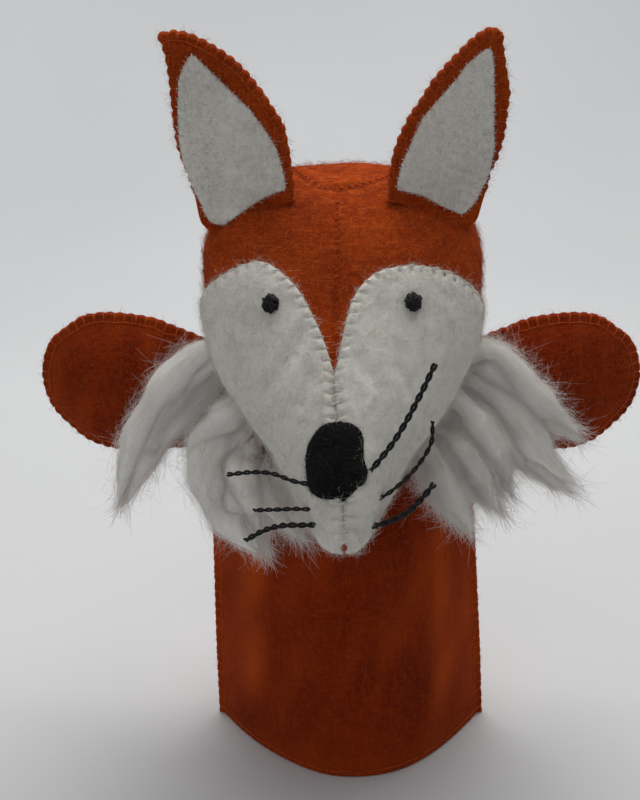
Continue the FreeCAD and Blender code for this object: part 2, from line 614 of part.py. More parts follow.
# ------------------------------------------------------------------ check and write
doc.recompute()
os.makedirs("parts", exist_ok=True)
bad = []
for obj in doc.Objects:
    if "Invalid" in obj.State or "Error" in obj.State:
        bad.append("%s %s" % (obj.Name, obj.State))
for obj in SUBPARTS:
    sh = obj.Shape
    if sh.isNull() or not sh.isValid() or not sh.Solids:
        bad.append("%s has no valid solid" % obj.Label)
        continue
    print("%-26s solids %d  vol %9.1f  x %.1f..%.1f y %.1f..%.1f z %.1f..%.1f" % (
        obj.Label, len(sh.Solids), sh.Volume, sh.BoundBox.XMin, sh.BoundBox.XMax, sh.BoundBox.YMin, sh.BoundBox.YMax,
        sh.BoundBox.ZMin, sh.BoundBox.ZMax))
if bad:
    raise SystemExit("bad objects: " + "; ".join(bad))
for obj in SUBPARTS:
    sh = obj.Shape
    if sh.ShapeType == "Compound" and len(sh.Solids) == 1:
        sh = sh.Solids[0]
    sh.exportStep("parts/%s.step" % obj.Label)
print("wrote", len(SUBPARTS), "parts")
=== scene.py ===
import bpy
import math
import numpy as np
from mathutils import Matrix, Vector
from mathutils.geometry import delaunay_2d_cdt


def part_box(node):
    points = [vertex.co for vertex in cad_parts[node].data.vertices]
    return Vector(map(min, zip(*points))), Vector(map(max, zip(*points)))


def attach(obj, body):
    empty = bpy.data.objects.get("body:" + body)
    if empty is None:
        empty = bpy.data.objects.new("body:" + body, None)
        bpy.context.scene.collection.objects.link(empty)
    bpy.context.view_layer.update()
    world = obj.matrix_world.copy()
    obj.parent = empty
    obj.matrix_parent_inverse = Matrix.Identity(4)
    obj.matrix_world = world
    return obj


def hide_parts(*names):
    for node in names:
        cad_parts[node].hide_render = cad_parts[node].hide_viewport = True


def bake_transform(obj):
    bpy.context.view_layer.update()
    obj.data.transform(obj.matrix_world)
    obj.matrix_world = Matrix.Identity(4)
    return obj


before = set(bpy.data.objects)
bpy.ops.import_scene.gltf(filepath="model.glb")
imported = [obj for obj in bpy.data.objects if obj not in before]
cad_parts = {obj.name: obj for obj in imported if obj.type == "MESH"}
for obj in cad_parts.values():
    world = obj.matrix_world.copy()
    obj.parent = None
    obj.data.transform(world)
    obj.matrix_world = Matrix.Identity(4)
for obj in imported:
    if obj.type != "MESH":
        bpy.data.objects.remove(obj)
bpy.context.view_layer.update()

# Working units are millimetres in the glove's own frame: its axis is x = y = 0 and its hem is z = 0.
_lo, _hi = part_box("neck_band")
YS = 500.0 * (_lo.y + _hi.y)
SHIFT = np.array([0.0, YS, 0.0])
scene = bpy.context.scene
scene.view_settings.view_transform = "Standard"


# ------------------------------------------------------------------ camera and light
cam_data = bpy.data.cameras.new("camera")
cam = bpy.data.objects.new("camera", cam_data)
scene.collection.objects.link(cam)
cam.location = (-0.008, -0.5954, 0.372)
cam.rotation_euler = (math.radians(90.0 - 20.9), 0, 0)
cam_data.lens = 78.75
cam_data.sensor_width = 36.0
cam_data.clip_start, cam_data.clip_end = 0.05, 20.0
scene.camera = cam

world = bpy.data.worlds.new("studio")
scene.world = world
world.use_nodes = True
world.node_tree.nodes["Background"].inputs[0].default_value = (0.96, 0.98, 1.0, 1)
world.node_tree.nodes["Background"].inputs[1].default_value = 0.17


def area_light(name, place, target, size, power, colour=(1, 1, 1)):
    data = bpy.data.lights.new(name, "AREA")
    data.shape = "RECTANGLE"
    data.size, data.size_y = size
    data.energy = power
    data.color = colour
    o = bpy.data.objects.new(name, data)
    scene.collection.objects.link(o)
    o.location = place
    o.rotation_euler = (Vector(target) - Vector(place)).to_track_quat("-Z", "Y").to_euler()
    return o


area_light("top", (0.05, 0.28, 0.95), (0, 0.02, 0.15), (0.9, 0.6), 6.4, (1.0, 0.985, 0.955))
area_light("front", (-0.45, -1.0, 0.85), (0, 0, 0.15), (0.8, 0.8), 1.9, (0.97, 0.985, 1.0))
area_light("wall", (0, 0.55, 1.1), (0, 1.25, 0.35), (1.8, 0.5), 2.2, (0.97, 0.985, 1.0))


# ------------------------------------------------------------------ materials
def material(name):
    m = bpy.data.materials.new(name)
    m.use_nodes = True
    t = m.node_tree
    return m, t, t.nodes["Principled BSDF"]


def node(t, kind, **values):
    n = t.nodes.new(kind)
    for k, v in values.items():
        if k in n.inputs:
            n.inputs[k].default_value = v
        else:
            setattr(n, k, v)
    return n


def noise_at(t, scale, detail=3.0, rough=0.6, stretch=None, turn=None, distortion=0.0):
    co = t.nodes.new("ShaderNodeTexCoord")
    out = co.outputs["Object"]
    if stretch or turn:
        mp = t.nodes.new("ShaderNodeMapping")
        if stretch:
            mp.inputs["Scale"].default_value = stretch
        if turn:
            mp.inputs["Rotation"].default_value = turn
        t.links.new(out, mp.inputs["Vector"])
        out = mp.outputs["Vector"]
    n = node(t, "ShaderNodeTexNoise", Scale=scale, Detail=detail, Roughness=rough, Distortion=distortion)
    t.links.new(out, n.inputs["Vector"])
    return n.outputs[0]


def ramp(t, src, stops):
    r = t.nodes.new("ShaderNodeValToRGB")
    while len(r.color_ramp.elements) < len(stops):
        r.color_ramp.elements.new(0.5)
    for e, (p, c) in zip(r.color_ramp.elements, stops):
        e.position = p
        e.color = (*c, 1)
    t.links.new(src, r.inputs[0])
    return r.outputs[0]


def maths(t, op, a, b):
    n = t.nodes.new("ShaderNodeMath")
    n.operation = op
    for k, v in enumerate((a, b)):
        if isinstance(v, (int, float)):
            n.inputs[k].default_value = v
        else:
            t.links.new(v, n.inputs[k])
    return n.outputs[0]


def felt(name, dark, mid, light, fibre, bump=0.55, sheen=0.25, mottle=0.5, fibre_mix=0.35, painted_light_and_mottle=None):
    """Wool felt: soft blotches, fine matted fibres lying every way, and a faint halo of fuzz."""
    m, t, p = material(name)
    big = noise_at(t, 42, 2.0, 0.5)
    mid_n = noise_at(t, 420, 5.0, 0.65, distortion=0.6)
    f = maths(t, "ADD", maths(t, "MULTIPLY", big, mottle), maths(t, "MULTIPLY", mid_n, 1.0 - mottle))
    base = ramp(t, f, [(0.32, dark), (0.5, mid), (0.68, light)])
    # Optional mix towards a lighter colour by a vertex attribute: on the glove it is painted highlight on the fold
    # bands and painted light at the edges, plus random mottling.
    if painted_light_and_mottle:
        at = t.nodes.new("ShaderNodeAttribute")
        at.attribute_name = "painted_light_and_mottle"
        wm = t.nodes.new("ShaderNodeMix")
        wm.data_type = "RGBA"
        t.links.new(at.outputs["Fac"], wm.inputs[0])
        t.links.new(base, wm.inputs[6])
        wm.inputs[7].default_value = (*painted_light_and_mottle, 1)
        base = wm.outputs[2]
    fa = noise_at(t, 480, 5.0, 0.6, stretch=(0.28, 1.0, 2.6), turn=(0.3, 0.5, 0.7), distortion=1.4)
    fb = noise_at(t, 480, 5.0, 0.6, stretch=(2.6, 1.0, 0.28), turn=(-0.4, 0.2, -0.6), distortion=1.4)
    fib = maths(t, "MAXIMUM", fa, fb)
    mixf = t.nodes.new("ShaderNodeMapRange")
    mixf.inputs["From Min"].default_value = 0.52
    mixf.inputs["From Max"].default_value = 0.72
    mixf.inputs["To Max"].default_value = fibre_mix
    t.links.new(fib, mixf.inputs["Value"])
    mx = t.nodes.new("ShaderNodeMix")
    mx.data_type = "RGBA"
    t.links.new(mixf.outputs[0], mx.inputs[0])
    t.links.new(base, mx.inputs[6])
    mx.inputs[7].default_value = (*fibre, 1)
    t.links.new(mx.outputs[2], p.inputs["Base Color"])
    h = maths(t, "ADD", maths(t, "MULTIPLY", fib, 0.6), maths(t, "MULTIPLY", mid_n, 0.7))
    b = node(t, "ShaderNodeBump", Strength=bump, Distance=0.0006)
    t.links.new(h, b.inputs["Height"])
    t.links.new(b.outputs[0], p.inputs["Normal"])
    p.inputs["Roughness"].default_value = 0.96
    p.inputs["Specular IOR Level"].default_value = 0.12
    p.inputs["Sheen Weight"].default_value = sheen
    p.inputs["Sheen Roughness"].default_value = 0.55
    p.inputs["Sheen Tint"].default_value = (*light, 1)
    return m


def yarn(name, dark, light, sheen=0.15, rough=0.85, scale=900):
    m, t, p = material(name)
    a = noise_at(t, scale, 3.0, 0.6)
    c = ramp(t, a, [(0.35, dark), (0.65, light)])
    t.links.new(c, p.inputs["Base Color"])
    b = node(t, "ShaderNodeBump", Strength=0.6, Distance=0.0003)
    t.links.new(noise_at(t, scale * 2.2, 3.0, 0.6, stretch=(1, 1, 0.4)), b.inputs["Height"])
    t.links.new(b.outputs[0], p.inputs["Normal"])
    p.inputs["Roughness"].default_value = rough
    p.inputs["Specular IOR Level"].default_value = 0.25
    p.inputs["Sheen Weight"].default_value = sheen
    p.inputs["Sheen Roughness"].default_value = 0.5
    return m


ORANGE = felt("orange_wool_felt", (0.21, 0.018, 0.0010), (0.33, 0.035, 0.0020), (0.48, 0.066, 0.0045), (0.70, 0.150, 0.018), sheen=0.08, fibre_mix=0.62, bump=0.9)
# The glove, arms and collar use a darker copy of the orange felt: the shade that falls on the upright front under the
# head is painted into this colour.
GLOVE_SHADED_FELT = felt("orange_wool_felt_glove", (0.140, 0.0095, 0.0006), (0.215, 0.0165, 0.0009), (0.31, 0.030, 0.0018), (0.46, 0.075, 0.008), sheen=0.06, fibre_mix=0.5, bump=0.9, painted_light_and_mottle=(0.62, 0.085, 0.0055))
WHITE = felt("white_wool_felt", (0.66, 0.63, 0.57), (0.80, 0.77, 0.71), (0.88, 0.86, 0.80), (0.96, 0.945, 0.90), bump=0.8, sheen=0.2, fibre_mix=0.55)
BLACK = felt("black_wool_felt", (0.003, 0.003, 0.003), (0.006, 0.006, 0.006), (0.011, 0.011, 0.011), (0.026, 0.026, 0.027), bump=0.8, sheen=0.04)
ORANGE_YARN = yarn("orange_wool_thread", (0.36, 0.042, 0.0025), (0.58, 0.085, 0.006), sheen=0.05)
WHITE_YARN = yarn("white_wool_thread", (0.66, 0.63, 0.57), (0.84, 0.82, 0.77))
BLACK_YARN = yarn("black_waxed_thread", (0.003, 0.003, 0.003), (0.012, 0.012, 0.013), rough=0.6, sheen=0.03)


def roving():
    """Combed wool: very pale, with fine streaks along the strands, and light goes a little way in."""
    m, t, p = material("wool_roving")
    a = noise_at(t, 260, 4.0, 0.65, distortion=0.8)
    c = ramp(t, a, [(0.3, (0.93, 0.875, 0.80)), (0.6, (1.0, 0.97, 0.925))])
    t.links.new(c, p.inputs["Base Color"])
    at = t.nodes.new("ShaderNodeAttribute")
    at.attribute_name = "strand"
    w = node(t, "ShaderNodeTexNoise", Scale=1.0, Detail=3.0, Roughness=0.6)
    t.links.new(at.outputs["Vector"], w.inputs["Vector"])
    b = node(t, "ShaderNodeBump", Strength=0.35, Distance=0.0004)
    t.links.new(w.outputs[0], b.inputs["Height"])
    t.links.new(b.outputs[0], p.inputs["Normal"])
    p.inputs["Roughness"].default_value = 0.97
    p.inputs["Specular IOR Level"].default_value = 0.1
    p.inputs["Sheen Weight"].default_value = 0.7
    p.inputs["Sheen Roughness"].default_value = 0.5
    p.inputs["Subsurface Weight"].default_value = 0.6
    p.inputs["Subsurface Radius"].default_value = (0.9, 0.85, 0.8)
    p.inputs["Subsurface Scale"].default_value = 0.003
    return m


ROVING = roving()
WISP = yarn("wool_wisps", (0.95, 0.90, 0.84), (1.0, 0.98, 0.95), sheen=0.3, scale=300)
FUZZ_O = yarn("orange_fuzz", (0.36, 0.042, 0.0030), (0.58, 0.110, 0.012), sheen=0.08)
FUZZ_W = yarn("white_fuzz", (0.72, 0.68, 0.60), (0.92, 0.90, 0.85), sheen=0.2)
FUZZ_B = yarn("black_fuzz", (0.006, 0.006, 0.006), (0.02, 0.02, 0.02), sheen=0.05)
CARD = felt("grey_card", (0.42, 0.39, 0.34), (0.50, 0.47, 0.41), (0.56, 0.53, 0.47), (0.6, 0.57, 0.5), bump=0.2, sheen=0.0)


# ------------------------------------------------------------------ mesh helpers
def mk(name, verts, faces, mat, smooth=True, normals=None):
    me = bpy.data.meshes.new(name)
    me.from_pydata(((np.asarray(verts, float) + SHIFT) / 1000.0).tolist(), [], faces if isinstance(faces, list) else faces.tolist())
    if smooth:
        me.polygons.foreach_set("use_smooth", [True] * len(me.polygons))
    me.materials.append(mat)
    me.update()
    if normals is not None:
        me.normals_split_custom_set_from_vertices(np.asarray(normals, float).tolist())
    o = bpy.data.objects.new(name, me)
    scene.collection.objects.link(o)
    return o


def unit(v):
    n = np.linalg.norm(v, axis=-1, keepdims=True)
    return v / np.where(n < 1e-9, 1.0, n)


def smooth01(x):
    x = np.clip(x, 0, 1)
    return x * x * (3 - 2 * x)


class Wobble:
    """Smooth seeded noise in space, about -1 to 1."""

    def __init__(self, seed, size, stretch=(1, 1, 1), n=9):
        r = np.random.default_rng(seed)
        d = unit(r.normal(size=(n, 3)))
        self.k = d * (2 * math.pi / size) * r.uniform(0.55, 1.5, (n, 1)) * np.array(stretch)
        self.p = r.uniform(0, 2 * math.pi, n)

    def __call__(self, P):
        return np.sin(np.asarray(P) @ self.k.T + self.p).sum(-1) / (len(self.p) ** 0.5) * 0.8


def line_dist(P, poly):
    """Distance of points (...,3) to a polyline, and the nearest length along it."""
    shape = P.shape[:-1]
    Q = P.reshape(-1, P.shape[-1])
    poly = np.asarray(poly, float)
    a, b = poly[:-1], poly[1:]
    ab = b - a
    L = np.linalg.norm(ab, axis=1)
    cum = np.concatenate([[0], np.cumsum(L)])[:-1]
    best = np.full(len(Q), 1e9)
    along = np.zeros(len(Q))
    for k in range(len(a)):
        if L[k] < 1e-9:
            continue
        t = np.clip(((Q - a[k]) @ ab[k]) / (L[k] ** 2), 0, 1)
        d = np.linalg.norm(Q - a[k] - t[:, None] * ab[k], axis=1)
        m = d < best
        best[m] = d[m]
        along[m] = cum[k] + t[m] * L[k]
    return best.reshape(shape), along.reshape(shape)


def resample(P, step=None, n=None, closed=False):
    P = np.asarray(P, float)
    if closed:
        P = np.vstack([P, P[:1]])
    L = np.concatenate([[0], np.cumsum(np.linalg.norm(np.diff(P, axis=0), axis=1))])
    if n is None:
        n = max(3, int(round(L[-1] / step)) + (0 if closed else 1))
    s = np.linspace(0, L[-1], n, endpoint=not closed)
    return np.stack([np.interp(s, L, P[:, k]) for k in range(P.shape[1])], -1)


def spline(P, n):
    """Catmull-Rom through the points, n samples, evenly spaced."""
    P = np.asarray(P, float)
    Q = np.vstack([2 * P[0] - P[1], P, 2 * P[-1] - P[-2]])
    out = []
    m = 24
    for k in range(1, len(Q) - 2):
        t = np.linspace(0, 1, m, endpoint=(k == len(Q) - 3))[:, None]
        p0, p1, p2, p3 = Q[k - 1], Q[k], Q[k + 1], Q[k + 2]
        out.append(0.5 * ((2 * p1) + (-p0 + p2) * t + (2 * p0 - 5 * p1 + 4 * p2 - p3) * t ** 2 + (-p0 + 3 * p1 - 3 * p2 + p3) * t ** 3))
    return resample(np.vstack(out), n=n)


class Bag:
    """Collects verts and faces of many small tubes into one mesh."""

    def __init__(self):
        self.v, self.f, self.n = [], [], 0

    def add(self, V, F):
        self.v.append(np.asarray(V, float))
        self.f.extend([[i + self.n for i in f] for f in F])
        self.n += len(V)

    def tube(self, path, r, sides=8):
        V, F = tube(path, r, sides)
        self.add(V, F)

    def make(self, name, mat):
        return mk(name, np.vstack(self.v), self.f, mat)


def frames(P):
    T = unit(np.gradient(P, axis=0))
    ref = np.array([0.0, 0.0, 1.0]) if abs(T[0, 2]) < 0.8 else np.array([1.0, 0.0, 0.0])
    U = np.zeros_like(P)
    u = ref - T[0] * (ref @ T[0])
    for k in range(len(P)):
        u = u - T[k] * (u @ T[k])
        u = u / max(np.linalg.norm(u), 1e-9)
        U[k] = u
    return T, U, np.cross(T, U)


def tube(path, r, sides=8):
    P = np.asarray(path, float)
    k = len(P)
    r = np.broadcast_to(np.asarray(r, float), (k,))
    T, U, W = frames(P)
    a = np.arange(sides) * 2 * math.pi / sides
    ring = P[:, None] + r[:, None, None] * (np.cos(a)[None, :, None] * U[:, None] + np.sin(a)[None, :, None] * W[:, None])
    V = np.vstack([ring.reshape(-1, 3), P[0] - T[0] * r[0] * 0.6, P[-1] + T[-1] * r[-1] * 0.6])
    F = []
    for j in range(k - 1):
        for s in range(sides):
            q = (s + 1) % sides
            F.append([j * sides + s, j * sides + q, (j + 1) * sides + q, (j + 1) * sides + s])
    for s in range(sides):
        q = (s + 1) % sides
        F.append([k * sides, q, s])
        F.append([k * sides + 1, (k - 1) * sides + s, (k - 1) * sides + q])
    return V, F


def rope(path, r, strands=2, pitch=3.0, sides=7, step=0.45, fill=0.62):
    """Twisted strands round a path."""
    P = resample(path, step=step)
    T, U, W = frames(P)
    s = np.concatenate([[0], np.cumsum(np.linalg.norm(np.diff(P, axis=0), axis=1))])
    bag = Bag()
    for q in range(strands):
        a = 2 * math.pi * (s / pitch + q / strands)
        c = P + (r * 0.5) * (np.cos(a)[:, None] * U + np.sin(a)[:, None] * W)
        bag.tube(c, r * fill, sides)
    return np.vstack(bag.v), bag.f


def fibre_mesh(P, r, seed):
    """P is (n, k, 3): n closed three-sided fibres."""
    n, k, _ = P.shape
    rg = np.random.default_rng(seed)
    r = np.broadcast_to(np.asarray(r, float), (n, k))
    T = unit(np.gradient(P, axis=1))
    ref = unit(rg.normal(size=(n, 1, 3)))
    U = unit(np.cross(T, ref))
    W = np.cross(T, U)
    a = np.arange(3) * 2 * math.pi / 3
    ring = P[:, :, None] + r[:, :, None, None] * (np.cos(a)[None, None, :, None] * U[:, :, None] + np.sin(a)[None, None, :, None] * W[:, :, None])
    V = ring.reshape(-1, 3)
    b = (np.arange(n) * k * 3)[:, None, None]
    j = (np.arange(k - 1) * 3)[None, :, None]
    s = np.arange(3)[None, None, :]
    q = (s + 1) % 3
    quads = np.stack(np.broadcast_arrays(b + j + s, b + j + q, b + j + 3 + q, b + j + 3 + s), -1).reshape(-1, 4)
    b1 = b[:, 0, 0]
    e = b1 + 3 * (k - 1)
    caps = np.concatenate([np.stack([b1, b1 + 2, b1 + 1], -1), np.stack([e, e + 1, e + 2], -1)])
    return V, quads.tolist() + caps.tolist()


def tris_of(obj):
    obj.data.calc_loop_triangles()
    n = len(obj.data.vertices)
    co = np.zeros(n * 3, np.float32)
    obj.data.vertices.foreach_get("co", co)
    t = np.zeros(len(obj.data.loop_triangles) * 3, np.int32)
    obj.data.loop_triangles.foreach_get("vertices", t)
    return co.reshape(-1, 3).astype(float) * 1000.0 - SHIFT, t.reshape(-1, 3)


def fuzz(name, obj, n, length, r, mat, seed, keep=None, lift=0.28, curl=0.5, k=5):
    """Loose fibre ends standing a little off a felt surface."""
    V, F = tris_of(obj)
    a, b, c = V[F[:, 0]], V[F[:, 1]], V[F[:, 2]]
    N = np.cross(b - a, c - a)
    A = np.linalg.norm(N, axis=1)
    if keep is not None:
        A = A * keep((a + b + c) / 3, unit(N))
    rg = np.random.default_rng(seed)
    pick = rg.choice(len(F), n, p=A / A.sum())
    u, v = rg.uniform(size=(2, n))
    flip = u + v > 1
    u[flip], v[flip] = 1 - u[flip], 1 - v[flip]
    p = a[pick] + u[:, None] * (b - a)[pick] + v[:, None] * (c - a)[pick]
    nn = unit(N[pick])
    tdir = unit(np.cross(nn, unit(rg.normal(size=(n, 3)))))
    side = np.cross(nn, tdir)
    L = length * rg.uniform(0.45, 1.3, n)
    up = lift * rg.uniform(0.2, 1.6, n) ** 1.5
    bend = rg.normal(0, curl, n)
    s = np.linspace(0, 1, k)
    P = (p[:, None] - 0.25 * nn[:, None] + (L[:, None] * s)[:, :, None] * tdir[:, None]
         + (L[:, None] * up[:, None] * (s * (1.6 - 0.7 * s)) + 0.25)[:, :, None] * nn[:, None]
         + (L[:, None] * bend[:, None] * s ** 2)[:, :, None] * side[:, None])
    rr = r * rg.uniform(0.7, 1.2, n)[:, None] * (1 - 0.55 * s ** 2)[None]
    FV, FF = fibre_mesh(P, rr, seed + 1)
    return mk(name, FV, FF, mat)


def inside(pts, poly):
    x, y = pts[:, 0], pts[:, 1]
    res = np.zeros(len(pts), bool)
    for k in range(len(poly)):
        (x0, y0), (x1, y1) = poly[k], poly[(k + 1) % len(poly)]
        if y0 == y1:
            continue
        c = ((y0 > y) != (y1 > y)) & (x < (x1 - x0) * (y - y0) / (y1 - y0) + x0)
        res ^= c
    return res


def outline_normals(o):
    t = np.roll(o, -1, 0) - np.roll(o, 1, 0)
    n = unit(np.stack([t[:, 1], -t[:, 0]], -1))
    area = 0.5 * np.sum(o[:, 0] * np.roll(o[:, 1], -1) - np.roll(o[:, 0], -1) * o[:, 1])
    return n if area > 0 else -n


def fill(outline, h, rings=(0.35, 0.8, 1.4), cuts=(), seed=3):
    """Triangles inside a closed outline. The first len(outline) points are the outline."""
    n = len(outline)
    nrm = outline_normals(outline)
    pts = [outline]
    loop = np.vstack([outline, outline[:1]])
    lo, hi = outline.min(0), outline.max(0)
    step = 2
    for d in rings:
        q = outline[::step] - nrm[::step] * d
        dist, _ = line_dist(q, loop)
        q = q[(dist > d * 0.93) & inside(q, outline)]
        pts.append(q)
        step = 3
    far = rings[-1] + 0.45 * h
    gx = np.arange(lo[0], hi[0] + h, h)
    gy = np.arange(lo[1], hi[1] + h, h * 0.866)
    X, Y = np.meshgrid(gx, gy)
    X = X + (np.arange(len(gy)) % 2)[:, None] * h * 0.5
    g = np.stack([X.ravel(), Y.ravel()], -1)
    g = g[inside(g, outline)]
    dist, _ = line_dist(g, loop)
    g = g[dist > far]
    edges = [(k, (k + 1) % n) for k in range(n)]
    for cut in cuts:
        d, _ = line_dist(g, cut)
        g = g[d > 0.5 * h]
        for j in range(1, len(pts)):
            d, _ = line_dist(pts[j], cut)
            pts[j] = pts[j][d > 0.25]
    pts.append(g)
    allp = np.vstack(pts)
    for cut in cuts:
        start = len(allp)
        allp = np.vstack([allp, cut])
        edges += [(start + k, start + k + 1) for k in range(len(cut) - 1)]
    V, _, F, ov, _, _ = delaunay_2d_cdt([Vector(p) for p in allp], edges, [list(range(n))], 1, 1e-5, True)
    P = np.array([tuple(v) for v in V])
    T = np.array([list(f) for f in F])
    a, b, c = P[T[:, 0]], P[T[:, 1]], P[T[:, 2]]
    ar = (b - a)[:, 0] * (c - a)[:, 1] - (b - a)[:, 1] * (c - a)[:, 0]
    T[ar < 0] = T[ar < 0][:, ::-1]
    dist, _ = line_dist(P, loop)
    T = T[(np.abs(ar) > 1e-7) & inside(P[T].mean(1), outline)]
    return P, T, dist


def rim_profile(d, rho, least=0.3):
    x = np.clip(d / rho, 0, 1)
    return least + (1 - least) * np.sqrt(np.clip(1 - (1 - x) ** 2, 0, 1))


def shell_faces(T, n):
    """Closed skin from 2-D triangles: outer layer, inner layer (index + n) and the rim strip."""
    F = T.tolist() + (T[:, ::-1] + n).tolist()
    E = np.vstack([T[:, [0, 1]], T[:, [1, 2]], T[:, [2, 0]]])
    key = np.sort(E, 1)
    code = key[:, 0].astype(np.int64) * 10_000_000 + key[:, 1]
    _, idx, cnt = np.unique(code, return_index=True, return_counts=True)
    for i in idx[cnt == 1]:
        a, b = E[i]
        F.append([int(b), int(a), int(a + n), int(b + n)])
    return F


def compact(V, F, N=None):
    used = sorted({i for f in F for i in f})
    m = {u: k for k, u in enumerate(used)}
    return V[used], [[m[i] for i in f] for f in F], (None if N is None else N[used])


def vertex_normals(V, F):
    N = np.zeros_like(V)
    tri = np.array([[f[0], f[k], f[k + 1]] for f in F for k in range(1, len(f) - 1)])
    fn = np.cross(V[tri[:, 1]] - V[tri[:, 0]], V[tri[:, 2]] - V[tri[:, 0]])
    for k in range(3):
        np.add.at(N, tri[:, k], fn)
    return unit(N)


def scallop(outline, length_of, pitch, amp, where=None):
    """Pulls an edge in at every stitch. length_of(o) gives the real length along the outline.
    Returns the new outline, the stitch places on it as indices, and the outline normals."""
    L = length_of(outline)
    total = L[-1]
    n = int(round(total / pitch))
    s = L[:-1] / total * n
    a = amp if np.isscalar(amp) else amp
    pull = a * (1 - np.abs(np.sin(math.pi * s)) ** 0.55)
    if where is not None:
        pull = pull * where(outline)
    nrm = outline_normals(outline)
    new = outline - nrm * pull[:, None]
    cusps = [int(np.argmin(np.abs(s - k))) for k in range(n)]
    return new, cusps, nrm


# ------------------------------------------------------------------ head form
HEAD = np.array(sorted([
    (43.0, 6.5, 198.5, 184.5, 191.0, 2.0, 2.0), (40.0, 20.0, 207.0, 174.0, 191.0, 2.1, 2.1), (32.0, 35.0, 217.0, 166.0, 191.5, 2.2, 2.2),
    (18.0, 45.5, 222.0, 162.0, 193.0, 2.5, 2.0), (2.0, 49.5, 221.0, 159.0, 194.0, 2.7, 1.95), (-14.0, 50.0, 217.0, 156.5, 192.0, 2.7, 1.95),
    (-28.0, 48.5, 209.0, 151.0, 186.0, 2.4, 2.1), (-40.0, 43.0, 198.5, 142.0, 175.0, 2.2, 2.1), (-50.0, 35.0, 187.0, 135.0, 163.0, 2.0, 2.0),
    (-60.0, 27.0, 176.0, 128.5, 152.0, 2.0, 2.0), (-72.0, 21.0, 162.5, 121.5, 141.0, 2.0, 2.0), (-84.0, 16.5, 148.5, 116.5, 131.5, 2.0, 2.0),
    (-94.0, 11.0, 136.0, 115.0, 124.5, 2.0, 2.0), (-99.0, 6.0, 127.5, 116.0, 121.0, 2.0, 2.0)]))


def pchip(x, y, xi):
    h = np.diff(x)
    d = np.diff(y) / h
    m = np.zeros_like(y)
    for k in range(1, len(x) - 1):
        if d[k - 1] * d[k] > 0:
            w1, w2 = 2 * h[k] + h[k - 1], h[k] + 2 * h[k - 1]
            m[k] = (w1 + w2) / (w1 / d[k - 1] + w2 / d[k])
    m[0], m[-1] = d[0], d[-1]
    i = np.clip(np.searchsorted(x, xi) - 1, 0, len(x) - 2)
    t = (xi - x[i]) / h[i]
    return (2 * t ** 3 - 3 * t ** 2 + 1) * y[i] + (t ** 3 - 2 * t ** 2 + t) * h[i] * m[i] + (3 * t ** 2 - 2 * t ** 3) * y[i + 1] + (t ** 3 - t ** 2) * h[i] * m[i + 1]


def hp(y, ang):
    """The plain head form at station y and angle ang (0 at +X, 90 on top)."""
    y, ang = np.broadcast_arrays(np.asarray(y, float), np.asarray(ang, float))
    yy = np.clip(y, -99.0, 43.0)
    w, zt, zb, zw, nt, nb = [pchip(HEAD[:, 0], HEAD[:, k], yy) for k in range(1, 7)]
    over = np.clip(np.maximum((y - 43.0) / 2.6, (-89.0 - y) / 10.6), 0, None)
    q = np.sqrt(np.clip(1 - over ** 2, 0.0004, 1))
    w = w * np.interp(y, [-99.0, -94.0, -84.0, -72.0, -58.0], [0.50, 0.54, 0.70, 0.91, 1.0])
    zt, zb, w = zw + (zt - zw) * q, zw - (zw - zb) * q, w * q
    c, s = np.cos(np.radians(ang)), np.sin(np.radians(ang))
    e = np.where(s >= 0, 2 / nt, 2 / nb)
    x = w * np.sign(c) * np.abs(c) ** e
    z = np.where(s >= 0, zw + (zt - zw) * np.abs(s) ** e, zw - (zw - zb) * np.abs(s) ** e)
    return np.stack([x, y, z], -1)


def hn(y, ang):
    dy = (hp(y + 0.3, ang) - hp(y - 0.3, ang)) if True else None
    da = hp(y, ang + 0.6) - hp(y, ang - 0.6)
    n = unit(np.cross(dy, da))
    c = hp(y, ang)
    centre = np.stack([0 * c[..., 0], c[..., 1] * 0.6, 0 * c[..., 0] + 172.0 + np.minimum(c[..., 1] + 30, 0) * 0.5], -1)
    return np.where(((c - centre) * n).sum(-1, keepdims=True) < 0, -n, n)


SEAM_TOP = [(-7.5, 90.5), (-9, 90.5), (-25, 91), (-38, 92), (-48, 94), (-58, 95.5), (-65.5, 98.5)]
SEAM_MUZZLE = [(-65.5, 98.5), (-69, 99), (-72.5, 98.5), (-75, 98.5), (-78, 97.5), (-84, 97), (-92, 95), (-99, 92)]
CROWN = [(39, 195), (38, 180), (36, 160), (32, 141), (26, 124), (20, 112), (12.5, 106), (0.5, 99.5), (-6, 94.5), (-7.5, 90.5), (-6, 88), (-2, 83),
         (5.5, 75.5), (14, 70), (21, 62), (27, 52), (33, 38), (37, 15), (38, 0), (39, -15)]
GUSSET = [(60, 178), (40, 180), (18, 169), (2, 166), (-14, 163.5), (-28, 158), (-40, 149.5), (-50, 142), (-60, 134), (-72, 126), (-84, 119.0), (-94, 116.3), (-110, 116)]


def gusset_ang(y):
    y = np.asarray(y, float)
    g = np.array(sorted(GUSSET))
    zg = np.interp(y, g[:, 0], g[:, 1])
    zw, zb, nb = [pchip(HEAD[:, 0], HEAD[:, k], np.clip(y, -99, 43)) for k in (4, 3, 6)]
    s = np.clip((zw - zg) / (zw - zb), 0.02, 0.985) ** (nb / 2)
    return np.degrees(np.arcsin(np.clip(s, 0, 1)))  # below the widest line


def on_head(path, n):
    p = spline(np.array(path, float) * [1, 0.8], n) / [1, 0.8]
    return p


